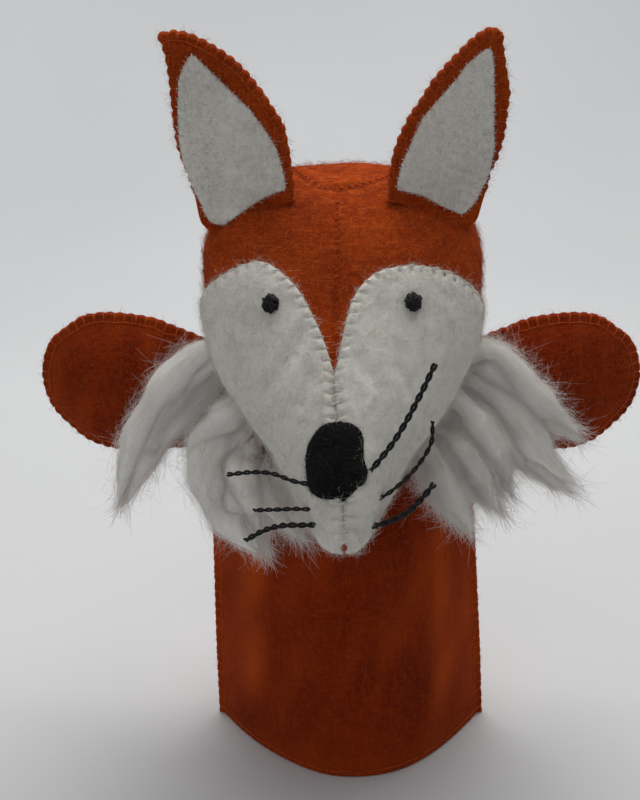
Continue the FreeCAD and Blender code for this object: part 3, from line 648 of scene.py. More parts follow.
L_TOP = on_head(SEAM_TOP, 60)
L_MUZ = on_head(SEAM_MUZZLE, 40)
L_CROWN = on_head(CROWN, 120)
_gy = np.linspace(38, -98, 90)
L_GL = np.stack([_gy, -gusset_ang(_gy)], -1)
L_GR = np.stack([_gy, 180 + gusset_ang(_gy)], -1)
P_TOP, P_MUZ, P_CROWN, P_GL, P_GR = [hp(l[:, 0], l[:, 1]) for l in (L_TOP, L_MUZ, L_CROWN, L_GL, L_GR)]
CREASES = [
    ([(-52, 110), (-54, 116.5), (-57.5, 127.5), (-59.5, 144.5), (-59, 166)], 1.1, 2.2),
    ([(-54.5, 60), (-56.5, 53.5), (-60.5, 43.5), (-64, 28.5)], 0.9, 2.2),
    ([(-60, 84), (-64, 74), (-68, 60)], 0.6, 2.0),
    ([(-62, 110), (-67, 120), (-71, 134)], 0.6, 2.0),
    ([(-30, 118), (-22, 128), (-12, 138)], 0.5, 3.0),
    ([(-32, 66), (-24, 55), (-12, 48)], 0.5, 3.0),
    ([(-12, 82), (-20, 80), (-30, 80)], 0.35, 2.4),
    ([(-14, 100), (-22, 102), (-31, 101)], 0.35, 2.4),
]
CREASES = [(hp(np.array(c)[:, 0], np.array(c)[:, 1]), d, w) for c, d, w in [(on_head(c, 24), d, w) for c, d, w in CREASES]]
W_BIG, W_MID = Wobble(11, 46), Wobble(12, 17)


def head_disp(y, ang, P):
    a = (ang + 360.0) % 360.0
    d = 0.55 * W_BIG(P) + 0.18 * W_MID(P)
    for cy, ca, sy, sa, h in ((-44, 199, 15, 26, 1.9), (-46, 341, 15, 24, 1.9), (-20, 192, 12, 25, 0.6), (-20, 348, 12, 25, 0.6)):
        da = (a - ca + 180) % 360 - 180
        d = d + h * np.exp(-((y - cy) / sy) ** 2 - (da / sa) ** 2)
    for poly, depth, width in ((P_TOP, 1.15, 1.5), (P_MUZ, 0.45, 1.2), (P_CROWN, 0.9, 1.3), (P_GL, 0.9, 1.3), (P_GR, 0.9, 1.3)):
        q, s = line_dist(P, poly)
        d = d - depth * np.exp(-(q / width) ** 2) * (0.82 + 0.18 * np.cos(s * 2 * math.pi / 3.6)) + 0.22 * np.exp(-((q - 3.4) / 1.6) ** 2)
    for poly, depth, width in CREASES:
        q, s = line_dist(P, poly)
        end = np.sin(np.clip(s / max(s.max(), 1e-6), 0, 1) * math.pi) ** 0.5
        d = d - depth * np.exp(-(q / width) ** 2) * end + 0.35 * depth * np.exp(-((q - 2.2 * width) / width) ** 2) * end
    return d


NECK = np.array([0.0, 0.0, 157.0])


def head_surf(y, ang, off=0.0):
    P = hp(y, ang)
    N = hn(y, ang)
    Q = P + N * (head_disp(np.broadcast_to(y, P.shape[:-1]), np.broadcast_to(ang, P.shape[:-1]), P) + off)[..., None]
    v = Q - NECK
    r = np.linalg.norm(v, axis=-1, keepdims=True)
    return NECK + v * np.maximum(1.0, 20.6 / np.maximum(r, 1e-6)), N


ny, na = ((200, 256))
ys = np.concatenate([[45.55, 45.3, 44.7, 43.9], np.linspace(43, -96, ny), [-97.2, -98.2, -98.9, -99.3, -99.55]])
an = np.arange(na) * 360.0 / na
Yg, Ag = np.meshgrid(ys, an, indexing="ij")
HP, HN = head_surf(Yg, Ag)
n_r = len(ys)
idx = np.arange(n_r * na).reshape(n_r, na)
quads = np.stack([idx[:-1], np.roll(idx[:-1], -1, 1), np.roll(idx[1:], -1, 1), idx[1:]], -1).reshape(-1, 4).tolist()
V = np.vstack([HP.reshape(-1, 3), HP[0].mean(0), HP[-1].mean(0)])
c0, c1 = n_r * na, n_r * na + 1
F = quads + [[c0, int(idx[0, (k + 1) % na]), int(idx[0, k])] for k in range(na)] + [[c1, int(idx[-1, k]), int(idx[-1, (k + 1) % na])] for k in range(na)]
F = [f[::-1] for f in F] if np.dot(np.cross(V[F[5000][1]] - V[F[5000][0]], V[F[5000][2]] - V[F[5000][0]]), HN.reshape(-1, 3)[F[5000][0]]) < 0 else F
head = mk("head_felt", V, F, ORANGE)
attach(head, "head")
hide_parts("head_side_left", "head_side_right", "head_back", "head_underside", "head_stuffing")


# ------------------------------------------------------------------ white cheek and muzzle patches
IN_R = [(-8, 216), (-11, 208), (-15, 200), (-21, 191), (-27.5, 183.5), (-32, 163.5), (-33.5, 147.5), (-34, 135.5), (-35, 125), (-38, 118.5), (-42, 113.5), (-45.5, 110.5),
        (-49.5, 108.2), (-54, 105.2), (-59, 102.2), (-62.5, 100.2), (-65.5, 98.7), (-69, 99.1), (-75, 98.6), (-84, 97.1), (-92, 95.1), (-99.2, 92.5)]
IN_L = [(-8, -36), (-11, -28), (-15, -20), (-21, -12), (-30, -3.5), (-33.5, 15.5), (-34.5, 30), (-35, 41), (-36, 52), (-37, 61), (-38.5, 68.5), (-40, 74.5), (-42, 79),
        (-45, 83), (-48.5, 86), (-53, 88.5), (-58.5, 91.8), (-63, 95), (-65.5, 98.3), (-69, 98.9), (-75, 98.4), (-84, 96.9), (-92, 94.9), (-99.2, 91.5)]


def patch(name, inner, sign, node_name, seed):
    nu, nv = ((300, 78))
    p = spline(np.array(inner, float) * [1, 0.75], 400) / [1, 0.75]
    P3 = head_surf(p[:, 0], p[:, 1])[0]
    L = np.concatenate([[0], np.cumsum(np.linalg.norm(np.diff(P3, axis=0), axis=1))])
    s = np.linspace(0, L[-1], nu)
    pin = np.stack([np.interp(s, L, p[:, 0]), np.interp(s, L, p[:, 1])], -1)
    t = np.linspace(0, 1, nu)
    yo = np.interp(t, [0, 0.12, 0.5, 0.85, 1], [-7, -14, -50, -88, -99.2])
    go = gusset_ang(yo)
    ao = 180 + go if sign < 0 else -go
    v = np.linspace(0, 1, nv)[None, :]
    y = pin[:, :1] * (1 - v) + yo[:, None] * v
    a = pin[:, 1:] * (1 - v) + ao[:, None] * v
    base = head_surf(y, a)[0]
    border = np.vstack([base[:, 0], base[-1, 1:], base[::-1, -1][1:], base[0, ::-1][1:]])
    d, _ = line_dist(base, border[::2])
    din, sin_ = line_dist(base, base[:, 0][::2])
    rho = 1.9
    off = 0.25 + 1.75 * rim_profile(d, rho, 0.28)
    w = Wobble(seed, 9)(base) * 0.12 + Wobble(seed + 1, 4.5)(base) * 0.07
    # puckers where the whip stitches pull the edge down
    pitch = 4.3
    pull = np.exp(-((din - 1.6) / 1.5) ** 2) * np.exp(-((((sin_ / pitch) % 1.0) - 0.5) / 0.16) ** 2)
    vis = smooth01((sin_ - 14) / 6)
    off = off + (w - 1.0 * pull * vis) * smooth01(d / 1.0)
    top = head_surf(y, a, off)[0]
    bot = head_surf(y, a, -0.5)[0]
    n = nu * nv
    idx = np.arange(n).reshape(nu, nv)
    T = np.stack([idx[:-1, :-1], idx[1:, :-1], idx[1:, 1:], idx[:-1, 1:]], -1).reshape(-1, 4)
    V = np.vstack([top.reshape(-1, 3), bot.reshape(-1, 3)])
    nr = np.cross(V[T[:, 1]] - V[T[:, 0]], V[T[:, 2]] - V[T[:, 0]])
    hnr = hn(y, a).reshape(-1, 3)[T[:, 0]]
    if (nr * hnr).sum() < 0:
        T = T[:, ::-1]
    F = T.tolist() + (T[:, ::-1] + n).tolist()
    E = np.concatenate([T[:, [0, 1]], T[:, [1, 2]], T[:, [2, 3]], T[:, [3, 0]]])
    key = np.sort(E, 1)
    code = key[:, 0].astype(np.int64) * 10_000_000 + key[:, 1]
    _, ix, cnt = np.unique(code, return_index=True, return_counts=True)
    for i in ix[cnt == 1]:
        q, r = E[i]
        F.append([int(r), int(q), int(q + n), int(r + n)])
    o = mk(name, V, F, WHITE)
    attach(o, "head")
    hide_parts(node_name)
    # stitches over the inner edge
    bag = Bag()
    tot = L[-1]
    rg = np.random.default_rng(seed)
    k = 0.5
    while k * pitch < tot:
        sk = k * pitch
        k += 1
        if sk < 12:
            continue
        i = int(round(sk / tot * (nu - 1)))
        yy, aa = pin[i]
        if yy < -79 and yy > -97:
            continue
        # step inside along v, and a hair outside
        inner_p = (y[i, :], a[i, :])
        base_line = base[i]
        dd = np.linalg.norm(base_line - base_line[0], axis=1)
        j = int(np.argmin(np.abs(dd - rg.uniform(2.2, 2.8))))
        sk2 = min(nu - 1, max(0, i + int(rg.integers(-1, 2))))
        A = head_surf(y[sk2, j], a[sk2, j], 1.0)[0]
        M1 = head_surf(y[i, max(1, j // 2)], a[i, max(1, j // 2)], 1.75)[0]
        dv = (y[i, 0] - y[i, 3]), (a[i, 0] - a[i, 3])
        lo_ = np.linalg.norm(base[i, 0] - base[i, 3])
        q = 0.9 / max(lo_, 1e-6)
        O1 = head_surf(yy + dv[0] * 0.1 * q, aa + dv[1] * 0.1 * q, 0.9)[0]
        O2 = head_surf(yy + dv[0] * 0.7 * q, aa + dv[1] * 0.7 * q, -0.3)[0]
        bag.tube(spline(np.array([A, M1, O1, O2]), 9), 0.22, 6)
    th = bag.make(name + "_stitches", WHITE_YARN)
    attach(th, "head")
    return o


patch_r = patch("cheek_patch_right", IN_R, -1, "muzzle_patch_right", 21)
patch_l = patch("cheek_patch_left", IN_L, 1, "muzzle_patch_left", 31)


# ------------------------------------------------------------------ seam threads of the head
def seam_stitches(name, line, pitch, half, r, off, mat, node_name, slant=0.9, s0=0.0, s1=1e9, seed=5, ladder=True):
    P = hp(line[:, 0], line[:, 1])
    L = np.concatenate([[0], np.cumsum(np.linalg.norm(np.diff(P, axis=0), axis=1))])
    rg = np.random.default_rng(seed)
    bag = Bag()
    s = s0 + pitch * 0.5
    while s < min(L[-1], s1):
        y, a = np.interp(s, L, line[:, 0]), np.interp(s, L, line[:, 1])
        c, n = head_surf(np.array(y), np.array(a), 0.0)
        ahead = head_surf(np.array(np.interp(s + 0.6, L, line[:, 0])), np.array(np.interp(s + 0.6, L, line[:, 1])))[0]
        t = unit(ahead - c)
        b = np.cross(n, t)
        h = half * rg.uniform(0.85, 1.15)
        sl = slant * rg.uniform(0.7, 1.3)
        p0 = c + b * h - t * sl * 0.5 + n * (off - 0.45)
        p1 = c + b * h * 0.55 - t * sl * 0.28 + n * (off + 0.45)
        p2 = c - b * h * 0.55 + t * sl * 0.28 + n * (off + 0.45)
        p3 = c - b * h + t * sl * 0.5 + n * (off - 0.45)
        bag.tube(spline(np.array([p0, p1, p2, p3]), 8), r, 6)
        s += pitch * rg.uniform(0.9, 1.1)
    o = bag.make(name, mat)
    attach(o, "head")
    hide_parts(node_name)
    return o


seam_stitches("forehead_seam_stitches", L_TOP, 2.7, 0.85, 0.17, 0.25, ORANGE_YARN, "forehead_seam_thread", seed=41)
seam_stitches("muzzle_seam_stitches", L_MUZ, 3.1, 1.2, 0.24, 1.75, WHITE_YARN, "muzzle_seam_thread", seed=42)
seam_stitches("crown_seam_stitches", L_CROWN, 3.0, 1.5, 0.28, 0.45, ORANGE_YARN, "crown_seam_thread", slant=1.4, seed=43)


# ------------------------------------------------------------------ nose
NOSE = [(0.0, 13.2), (5.2, 12.9), (9.4, 10.0), (10.6, 4.5), (10.2, 0.0), (10.9, -4.6), (9.4, -8.6), (7.2, -10.6),
        (4.6, -13.4), (0.6, -14.9), (-3.0, -14.0), (-6.8, -12.2), (-9.6, -8.6), (-10.6, -3.2), (-10.8, 2.5), (-9.2, 8.4), (-5.2, 12.4)]
o2 = spline(np.array(NOSE + NOSE[:1]), 260)[:-1]
P2, T2, D2 = fill(o2, 0.7, rings=(0.25, 0.6, 1.1, 1.7))
ca, sa = math.cos(math.radians(50)), math.sin(math.radians(50))


def nose_at(p, w):
    return np.array([-2.0, -83.0, 145.0]) + np.stack([p[:, 0], p[:, 1] * ca - w * sa, p[:, 1] * sa + w * ca], -1)


dome = 3.6 * (1 - np.exp(-D2 / 2.6)) + 1.2 * rim_profile(D2, 2.5, 0.0)
lump = np.exp(-((P2[:, 0] / 1.6) ** 2)) * smooth01((-P2[:, 1] - 1) / 6) * 1.5
lump2 = np.exp(-(((np.abs(P2[:, 0]) - 6.2) / 3.4) ** 2) - ((P2[:, 1] + 5.5) / 4.5) ** 2) * 0.9
w3 = Wobble(51, 7)(np.c_[P2, 0 * P2[:, 0]]) * 0.15
seat = -6.6 * (np.abs(P2[:, 0]) / 10.5) ** 2
wt = 2.7 + dome - lump + lump2 + w3 + seat * 0.55
wb = seat * 0.8 - 1.6
NV = np.vstack([nose_at(P2, wt), nose_at(P2, wb)])
nose = mk("nose_felt", NV, shell_faces(T2, len(P2)), BLACK)
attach(nose, "head")
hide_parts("nose")
o = fuzz("nose_fuzz", nose, 2600, 1.6, 0.045, FUZZ_B, 52, keep=lambda c, n: (n[:, 1] < 0.3).astype(float))
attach(o, "head")


# ------------------------------------------------------------------ eyes: wound knots of dark thread
def eye(name, y, ang, node_name, seed):
    c, n = head_surf(np.array(float(y)), np.array(float(ang)), 2.6)
    ref = np.array([0.0, 0, 1])
    u = unit(np.cross(n, ref))
    w = np.cross(n, u)
    rg = np.random.default_rng(seed)
    bag = Bag()
    # core
    th = np.linspace(0, math.pi, 14)
    ph = np.arange(22) * 2 * math.pi / 22
    S = np.stack([np.outer(np.sin(th), np.cos(ph)), np.outer(np.sin(th), np.sin(ph)), np.outer(np.cos(th), np.ones(22))], -1)
    S = S * (1 + 0.06 * np.sin(5 * S[..., :1] * 3 + 2) + 0.05 * np.sin(7 * S[..., 1:2] * 2))
    core = c + 2.9 * S[..., 0:1] * u + 3.2 * S[..., 1:2] * w + 1.9 * S[..., 2:3] * n
    m, k = core.shape[:2]
    ix = np.arange(m * k).reshape(m, k)
    fcs = np.stack([ix[:-1], np.roll(ix[:-1], -1, 1), np.roll(ix[1:], -1, 1), ix[1:]], -1).reshape(-1, 4).tolist()
    bag.add(core.reshape(-1, 3), [f for f in fcs])
    for q in range(11):
        a0 = rg.uniform(0, math.pi)
        d = unit(np.array([math.cos(a0), math.sin(a0), rg.uniform(-0.35, 0.35)]))
        e = unit(np.cross(d, [0.2, 0.1, 1.0]))
        tt = np.linspace(0.15, math.pi - 0.15, 15)
        offc = rg.uniform(-1.5, 1.5)
        arc = np.cos(tt)[:, None] * d + np.sin(tt)[:, None] * np.array([0, 0, 1.0])
        pts = c + (arc[:, 0:1] * 2.9 + e[0] * offc) * u + (arc[:, 1:2] * 3.15 + e[1] * offc) * w + (arc[:, 2:3] * 2.0 * math.sqrt(max(0.1, 1 - (offc / 2.9) ** 2))) * n
        bag.tube(pts, 0.42, 6)
    o = bag.make(name, BLACK_YARN)
    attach(o, "head")
    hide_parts(node_name)


eye("eye_knot_right", -45.5, 128, "eye_right", 61)
eye("eye_knot_left", -45.5, 54, "eye_left", 62)


# ------------------------------------------------------------------ whiskers: loops of twisted black thread
WHISK = {
    "right_upper": ([(-9.0, -88, 138.6), (-16.5, -85.5, 138.9), (-24, -81, 139.8), (-31, -77.5, 138.8), (-39.5, -72.5, 135.8)], 0.66),
    "right_middle": ([(-8.5, -89, 129.9), (-15, -86.5, 129.3), (-23.5, -82, 127), (-30.5, -77, 124.5)], 0.62),
    "right_lower": ([(-6.5, -92.0, 126.0), (-13, -89.8, 124.9), (-21, -86, 122.9), (-27, -82, 119.3), (-33.5, -78.5, 113.9)], 0.80),
    "left_upper": ([(6.0, -87, 140.5), (11.5, -85, 146.0), (18.0, -81.5, 154.0), (24.5, -77.5, 165.0), (30.2, -74, 176.2)], 0.86),
    "left_middle": ([(9.5, -87, 132.0), (16.0, -84.5, 135.0), (23.5, -81, 141), (29.0, -78, 149), (29.6, -77, 157)], 0.62),
    "left_lower": ([(7.0, -90.5, 124.5), (13.5, -88.8, 125.0), (21, -85, 127), (26, -81.5, 130.5), (30.5, -78.0, 134.6)], 0.90),
}
for key, (pts, r) in WHISK.items():
    line = spline(np.array(pts, float), 60)
    VV, FF = rope(line, r * 1.35, strands=2, pitch=7.5, sides=7, step=0.35, fill=0.47)
    o = mk("whisker_" + key + "_loop", VV, FF, BLACK_YARN)
    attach(o, "head")
    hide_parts("whisker_" + key)


# ------------------------------------------------------------------ ears
EARS = {
    "left": {
        "outer": [(51.9, 276.1), (49.0, 275.1), (45.3, 272.4), (40.6, 267.6), (35.8, 262.7), (31.4, 257.5), (27.2, 250.5), (24.0, 246.2), (20.1, 238.6),
                  (18.5, 234.1), (17.2, 227.6), (16.1, 219.6), (22.0, 219.0), (29.0, 217.6), (36.0, 215.4), (42.3, 213.6), (44.9, 215.6), (47.9, 218.9),
                  (50.7, 222.9), (52.0, 226.9), (54.3, 231.6), (56.4, 240.2), (57.4, 249.1), (58.0, 255.0), (56.6, 262.0), (55.2, 270.7), (55.0, 274.5)],
        "white": [(50.6, 268.9), (51.6, 263.4), (52.0, 254.0), (52.0, 244.1), (52.2, 235.0), (51.0, 227.5), (48.0, 220.7), (42.3, 216.0), (35.0, 217.6),
                  (29.0, 219.8), (22.0, 221.2), (19.8, 221.6), (21.8, 229.4), (25.5, 237.7), (29.3, 245.5), (34.0, 251.2), (39.8, 257.8), (44.5, 264.0)],
    },
    "right": {
        "outer": [(-64.0, 274.1), (-62.4, 270.7), (-61.1, 265.8), (-60.2, 258.9), (-59.8, 252.9), (-59.1, 244.1), (-58.0, 236.1), (-55.9, 229.4), (-52.5, 222.5),
                  (-49.8, 217.5), (-46.3, 213.4), (-42.3, 211.6), (-36.0, 214.9), (-29.0, 217.4), (-22.0, 219.0), (-17.4, 219.6), (-18.0, 225.1), (-19.2, 234.0),
                  (-21.0, 243.0), (-24.3, 248.0), (-28.3, 254.0), (-33.1, 259.9), (-37.9, 264.8), (-42.7, 268.2), (-47.5, 271.0), (-53.3, 273.7), (-58.1, 274.9)],
        "white": [(-52.4, 266.5), (-46.3, 260.3), (-39.8, 254.0), (-33.3, 248.0), (-28.4, 241.6), (-24.4, 235.2), (-22.5, 229.1), (-20.8, 222.0), (-29.0, 219.4),
                  (-36.0, 217.2), (-41.9, 214.6), (-46.6, 216.6), (-52.2, 223.0), (-55.0, 230.1), (-56.4, 238.0), (-56.7, 248.0), (-56.2, 258.5), (-54.8, 262.7)],
    },
}
LEAN = math.radians(5.0)


def grow(outline, d):
    n = outline_normals(outline)
    return outline + n * d


def root(outline, inner, outer):
    """The foot of an ear runs down on to the head: least at its inner end, most at its outer corner."""
    o = outline.copy()
    o[:, 1] -= (inner + outer * np.clip((np.abs(o[:, 0]) - 20.0) / 22.0, 0, 1.1)) * smooth01((228.0 - o[:, 1]) / 10.0)
    return o


for side, sx in (("left", 1), ("right", -1)):
    data = EARS[side]
    tip_drop = 4.5 if side == "left" else 6.5
    base_o = root(resample(np.array(data["outer"]), step=0.45, closed=True), 3.5, 4.5)
    base_o = grow(base_o, 0.7 * smooth01((base_o[:, 1:2] - 217.5) / 4.0))
    base_o = resample(base_o, step=0.45, closed=True)
    cxe = np.array(data["outer"])[:, 0].mean()

    def edge_w(o):
        return smooth01((o[:, 1] - 217.0) / 4.0)

    def lens(o):
        q = np.vstack([o, o[:1]])
        return np.concatenate([[0], np.cumsum(np.linalg.norm(np.diff(q, axis=0), axis=1))])

    out, cusps, nrm = scallop(base_o, lens, 3.8, 1.15, edge_w)
    wob = Wobble(71 + sx, 24)

    def ear3(p, w, sx=sx, cxe=cxe, wob=wob):
        """p in the ear's flat outline, w forward out of it."""
        x, z = p[:, 0], p[:, 1]
        u = (x - cxe) / 19.0
        up = np.clip((z - 214.6) / 60.0, 0, 1)
        cup = 2.6 * u ** 2 * (1 - 0.5 * up) - 1.6 + 0.5 * wob(np.c_[p, 0 * x])
        fold = 1.7 * np.exp(-((x - cxe - sx * 4 * up) / 5.0) ** 2) * (1 - up) ** 2
        fwd = cup - fold + w + 4.0 * smooth01((217.0 - z) / 8.0)
        zz = z - 214.6
        return np.stack([x, -13.0 - fwd * math.cos(LEAN) + zz * math.sin(LEAN) * 0.9, 214.6 + zz * math.cos(LEAN) - fwd * math.sin(LEAN) * 0.5], -1)

    lo_w = np.where(base_o[:, 1] < 219, 1, 0)
    P, T, D = fill(out, 1.25, rings=(0.3, 0.75, 1.3))
    pieces = []
    mid = 0.35 * Wobble(81, 7)(np.c_[P, 0 * P[:, 0]])
    for tag, w0, w1 in (("front", 0.12, 2.1), ("back", -2.1, -0.12)):
        m_, e_ = (w0 + w1) / 2, (w1 - w0) / 2
        pr = rim_profile(D, 1.2, 0.35)
        puff = 0.5 * np.exp(-((D - 4.5) / 2.4) ** 2) * (1 if tag == "front" else -1)
        topw = m_ + e_ * pr + 0.2 * mid + (puff if tag == "front" else 0)
        botw = m_ - e_ * pr + 0.2 * mid + (puff if tag == "back" else 0)
        # the line of stitches presses into the felt
        line_in = 0.45 * np.exp(-((D - 2.0) / 0.55) ** 2) * edge_w(P)
        if tag == "front":
            topw = topw - line_in
        else:
            botw = botw + line_in
        VV = np.vstack([ear3(P, topw), ear3(P, botw)])
        FF = shell_faces(T, len(P))
        # +w is towards -y: with x right and z up, a counter-clockwise outline faces -y
        o = mk("ear_%s_felt_%s" % (side, tag), VV, FF, ORANGE)
        pieces.append(o)
    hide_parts("ear_%s_outer" % side)
    # white lining
    wo = root(resample(np.array(data["white"]), step=0.5, closed=True), 0.0, tip_drop)
    wo = resample(grow(wo, 1.25 * smooth01((wo[:, 1:2] - 217.0) / 8.0)), step=0.5, closed=True)
    wo2, wc, wn = scallop(wo, lens, 3.3, 0.35)
    PW, TW, DW = fill(wo2, 1.25, rings=(0.3, 0.75, 1.3))
    dimple = np.zeros(len(PW))
    for k in wc:
        q = wo2[k] - wn[k] * 1.1
        dimple += 0.45 * np.exp(-(np.linalg.norm(PW - q, axis=1) / 0.8) ** 2)
    tw = 2.25 + 1.35 * rim_profile(DW, 1.2, 0.15) - dimple + 0.16 * Wobble(91, 6)(np.c_[PW, 0 * PW[:, 0]])
    VV = np.vstack([ear3(PW, tw), ear3(PW, np.full(len(PW), 1.9))])
    lin = mk("ear_%s_white_lining" % side, VV, shell_faces(TW, len(PW)), WHITE)
    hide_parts("ear_%s_lining" % side)
    # threads
    bag, wbag = Bag(), Bag()
    rg = np.random.default_rng(95 + sx)
    inner = []
    for k in cusps:
        if base_o[k, 1] < 217.0:
            inner.append(None)
            continue
        e = out[k] + nrm[k] * 0.35
        i1 = out[k] - nrm[k] * 0.7
        i2 = out[k] - nrm[k] * (2.0 + rg.uniform(-0.15, 0.15))
        pts = np.vstack([ear3(i2[None], np.array([2.05])), ear3(i1[None], np.array([2.25])), ear3(e[None], np.array([0.9])), ear3(e[None], np.array([-0.9])),
                         ear3(i1[None], np.array([-2.25])), ear3(i2[None], np.array([-2.05]))])
        bag.tube(spline(pts, 15), 0.24, 6)
        inner.append(i2)
    run = []
    for q in inner + [None]:
        if q is None:
            if len(run) > 2:
                c2 = spline(np.array(run), len(run) * 7)
                ph = np.arange(len(c2)) / 7.0 * 2 * math.pi
                for sgn in (1, -1):
                    ww = np.full(len(c2), sgn * 2.35) + sgn * 0.12 * np.cos(ph * 1.0)
                    bag.tube(ear3(c2, ww), 0.21, 6)
            run = []
        else:
            run.append(q)
    for k in wc:
        e = wo2[k] + wn[k] * 0.75
        i1 = wo2[k] - wn[k] * 0.1
        i2 = wo2[k] - wn[k] * 1.15
        if e[1] < 209:
            continue
        pts = np.vstack([ear3(i2[None], np.array([2.9])), ear3(i1[None], np.array([3.35])), ear3(e[None], np.array([2.35])), ear3(e[None], np.array([1.5]))])
        wbag.tube(spline(pts, 8), 0.17, 5)
    st = bag.make("ear_%s_edge_stitches" % side, ORANGE_YARN)
    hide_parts("ear_%s_stitch" % side)
    ws = wbag.make("ear_%s_lining_stitches" % side, WHITE_YARN)
    fz = fuzz("ear_%s_fuzz" % side, pieces[0], 4200, 2.6, 0.04, FUZZ_O, 101 + sx, keep=lambda c, n: (c[:, 2] > 219).astype(float))
    fw = fuzz("ear_%s_lining_fuzz" % side, lin, 2200, 1.9, 0.045, FUZZ_W, 111 + sx, keep=lambda c, n: (n[:, 1] < 0).astype(float))
    for o in pieces + [lin, st, ws, fz, fw]:
        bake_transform(o)


# ------------------------------------------------------------------ glove and arms
TUBE = np.array([(0, 52, 49), (30, 51.5, 48.5), (60, 50.5, 46), (90, 49.5, 41), (115, 48.5, 34), (130, 48, 29), (146, 46, 21.5)], float)
ARM = np.array([(34, 21.5, 8.7, 139), (56, 21.5, 9.1, 139), (62, 22.8, 9.6, 140.3), (70, 24.6, 10.3, 141.8), (80, 25.5, 10.5, 142.6), (88, 25.5, 10.3, 143.1),
                (95, 23.8, 9.3, 143.9), (99, 21.5, 8.3, 144.4), (102.5, 18.5, 7, 144.8), (106.5, 13.7, 5.4, 145.3), (109.5, 8.2, 3.6, 145.7), (110.9, 3.5, 1.6, 145.9)])


def cx(z):
    return 4.5 * np.maximum(0, 1 - z / 115.0)


W_GL = Wobble(131, 60, stretch=(1.6, 1, 0.5))
W_GM = Wobble(132, 22, stretch=(1.3, 1, 0.6))
W_AR = Wobble(133, 26)


def depth(x, z, back=False):
    """How far the felt's outer face stands from the middle plane."""
    zc = np.clip(z, 0, 146)
    a = np.interp(zc, TUBE[:, 0], TUBE[:, 1])
    b = np.interp(zc, TUBE[:, 0], TUBE[:, 2])
    q = np.clip(np.abs(x - cx(z)) / a, 0, 1.2)
    body = b * np.clip(1 - q ** 2, 0, 1)
    neck = np.sqrt(np.clip(17.2 ** 2 - x ** 2, 0, None))
    t = smooth01(np.clip((z - 128) / 23.0, 0, 1))
    t2 = np.sqrt(np.clip(1 - t ** 2.2, 0, 1))
    body = neck + (np.maximum(body, neck) - neck) * t2 if True else body
    body = np.where(z < 128, b * np.clip(1 - q ** 2, 0, 1), body)
    s = np.sign(x)
    ax = np.clip(np.abs(x), 34, 110.9)
    h = np.interp(ax, ARM[:, 0], ARM[:, 1])
    d = np.interp(ax, ARM[:, 0], ARM[:, 2])
    zz = np.interp(ax, ARM[:, 0], ARM[:, 3])
    e = np.clip(1 - ((z - zz) / h) ** 2, 0, 1) ** 0.8
    arm = d * e * smooth01((np.abs(x) - 26) / 14.0)
    P = np.stack([x, 0 * x + (300.0 if back else 0.0), z], -1)
    D = (np.clip(body, 0, None) ** 3 + arm ** 3) ** (1 / 3)
    room = smooth01(D / 9.0)
    fold = 1.15 * np.exp(-((x + 31.5 - 0.02 * (z - 60)) / 5.0) ** 2) + 1.15 * np.exp(-((x - 35.5 + 0.02 * (z - 60)) / 5.0) ** 2)
    fold = fold * smooth01(z / 12.0) * smooth01((118 - z) / 22.0) * (1.0 if not back else 0.6)
    D = D + room * (0.7 * W_GL(P) + 0.28 * W_GM(P) + fold) + 0.35 * W_AR(P) * smooth01((np.abs(x) - 52) / 8) * smooth01(arm / 5.0)
    return D


TE, TF = 1.7, 2.4


def faces_of(x, z, dist, back=False):
    D = depth(x, z, back)
    Do = np.sqrt(D ** 2 + TE ** 2)
    Di = np.maximum(Do - TF, 0.12)
    m, e = (Do + Di) / 2, (Do - Di) / 2
    e = e * rim_profile(dist, 1.2, 0.35)
    return m + e, m - e


def glove_outline():
    pts = []
    zs = np.linspace(0, 104, 40)
    a = np.interp(zs, TUBE[:, 0], TUBE[:, 1])
    rightside = np.stack([cx(zs) + a + 1.3, zs], -1)
    leftside = np.stack([cx(zs) - a - 1.3, zs], -1)

    def arm_edge(s):
        lower = [(49.9, 109), (50.6, 113), (53.0, 115.4), (57, 116.0)] + [(x, zc - h - 1.5) for x, h, d, zc in ARM[2:9]]
        tip = [(108.0, 130.8), (111.2, 137.3), (112.6, 145.8), (111.3, 154.0), (108.2, 160.2)]
        upper = [(x, zc + h + 1.5) for x, h, d, zc in ARM[2:9]][::-1] + [(56, 162.2), (50, 159.2), (43, 155.0), (36, 152.2), (28, 151.0)]
        return spline(np.array([(s * x, z) for x, z in lower + tip + upper]), 420)

    hem = np.stack([np.linspace(-48.8, 57.8, 120)[1:-1], np.zeros(118)], -1)
    R = arm_edge(1)
    Lf = arm_edge(-1)[::-1]
    top = np.stack([np.linspace(27, -27, 60), np.full(60, 151.0)], -1)
    o = np.vstack([hem, rightside, R, top, Lf, leftside[::-1]])
    return o


def out3(o, back=False):
    D = np.sqrt(depth(o[:, 0], o[:, 1], back) ** 2 + TE ** 2)
    return np.stack([o[:, 0], (1 if back else -1) * D, o[:, 1]], -1)


raw = glove_outline()
P3 = out3(np.vstack([raw, raw[:1]]))
LL = np.concatenate([[0], np.cumsum(np.linalg.norm(np.diff(P3, axis=0), axis=1))])
nn_ = int(LL[-1] / 0.62)
ss = np.linspace(0, LL[-1], nn_, endpoint=False)
rr_ = np.vstack([raw, raw[:1]])
base_o = np.stack([np.interp(ss, LL, rr_[:, 0]), np.interp(ss, LL, rr_[:, 1])], -1)


def len3(o):
    q = out3(np.vstack([o, o[:1]]))
    return np.concatenate([[0], np.cumsum(np.linalg.norm(np.diff(q, axis=0), axis=1))])


def glove_edge(o):
    seam = np.where(o[:, 1] > 2.0, 1.0, 0.0)
    neck_off = 1 - smooth01((30 - np.abs(o[:, 0])) / 4.0) * (o[:, 1] > 120)
    return (0.55 + 0.45 * seam) * neck_off


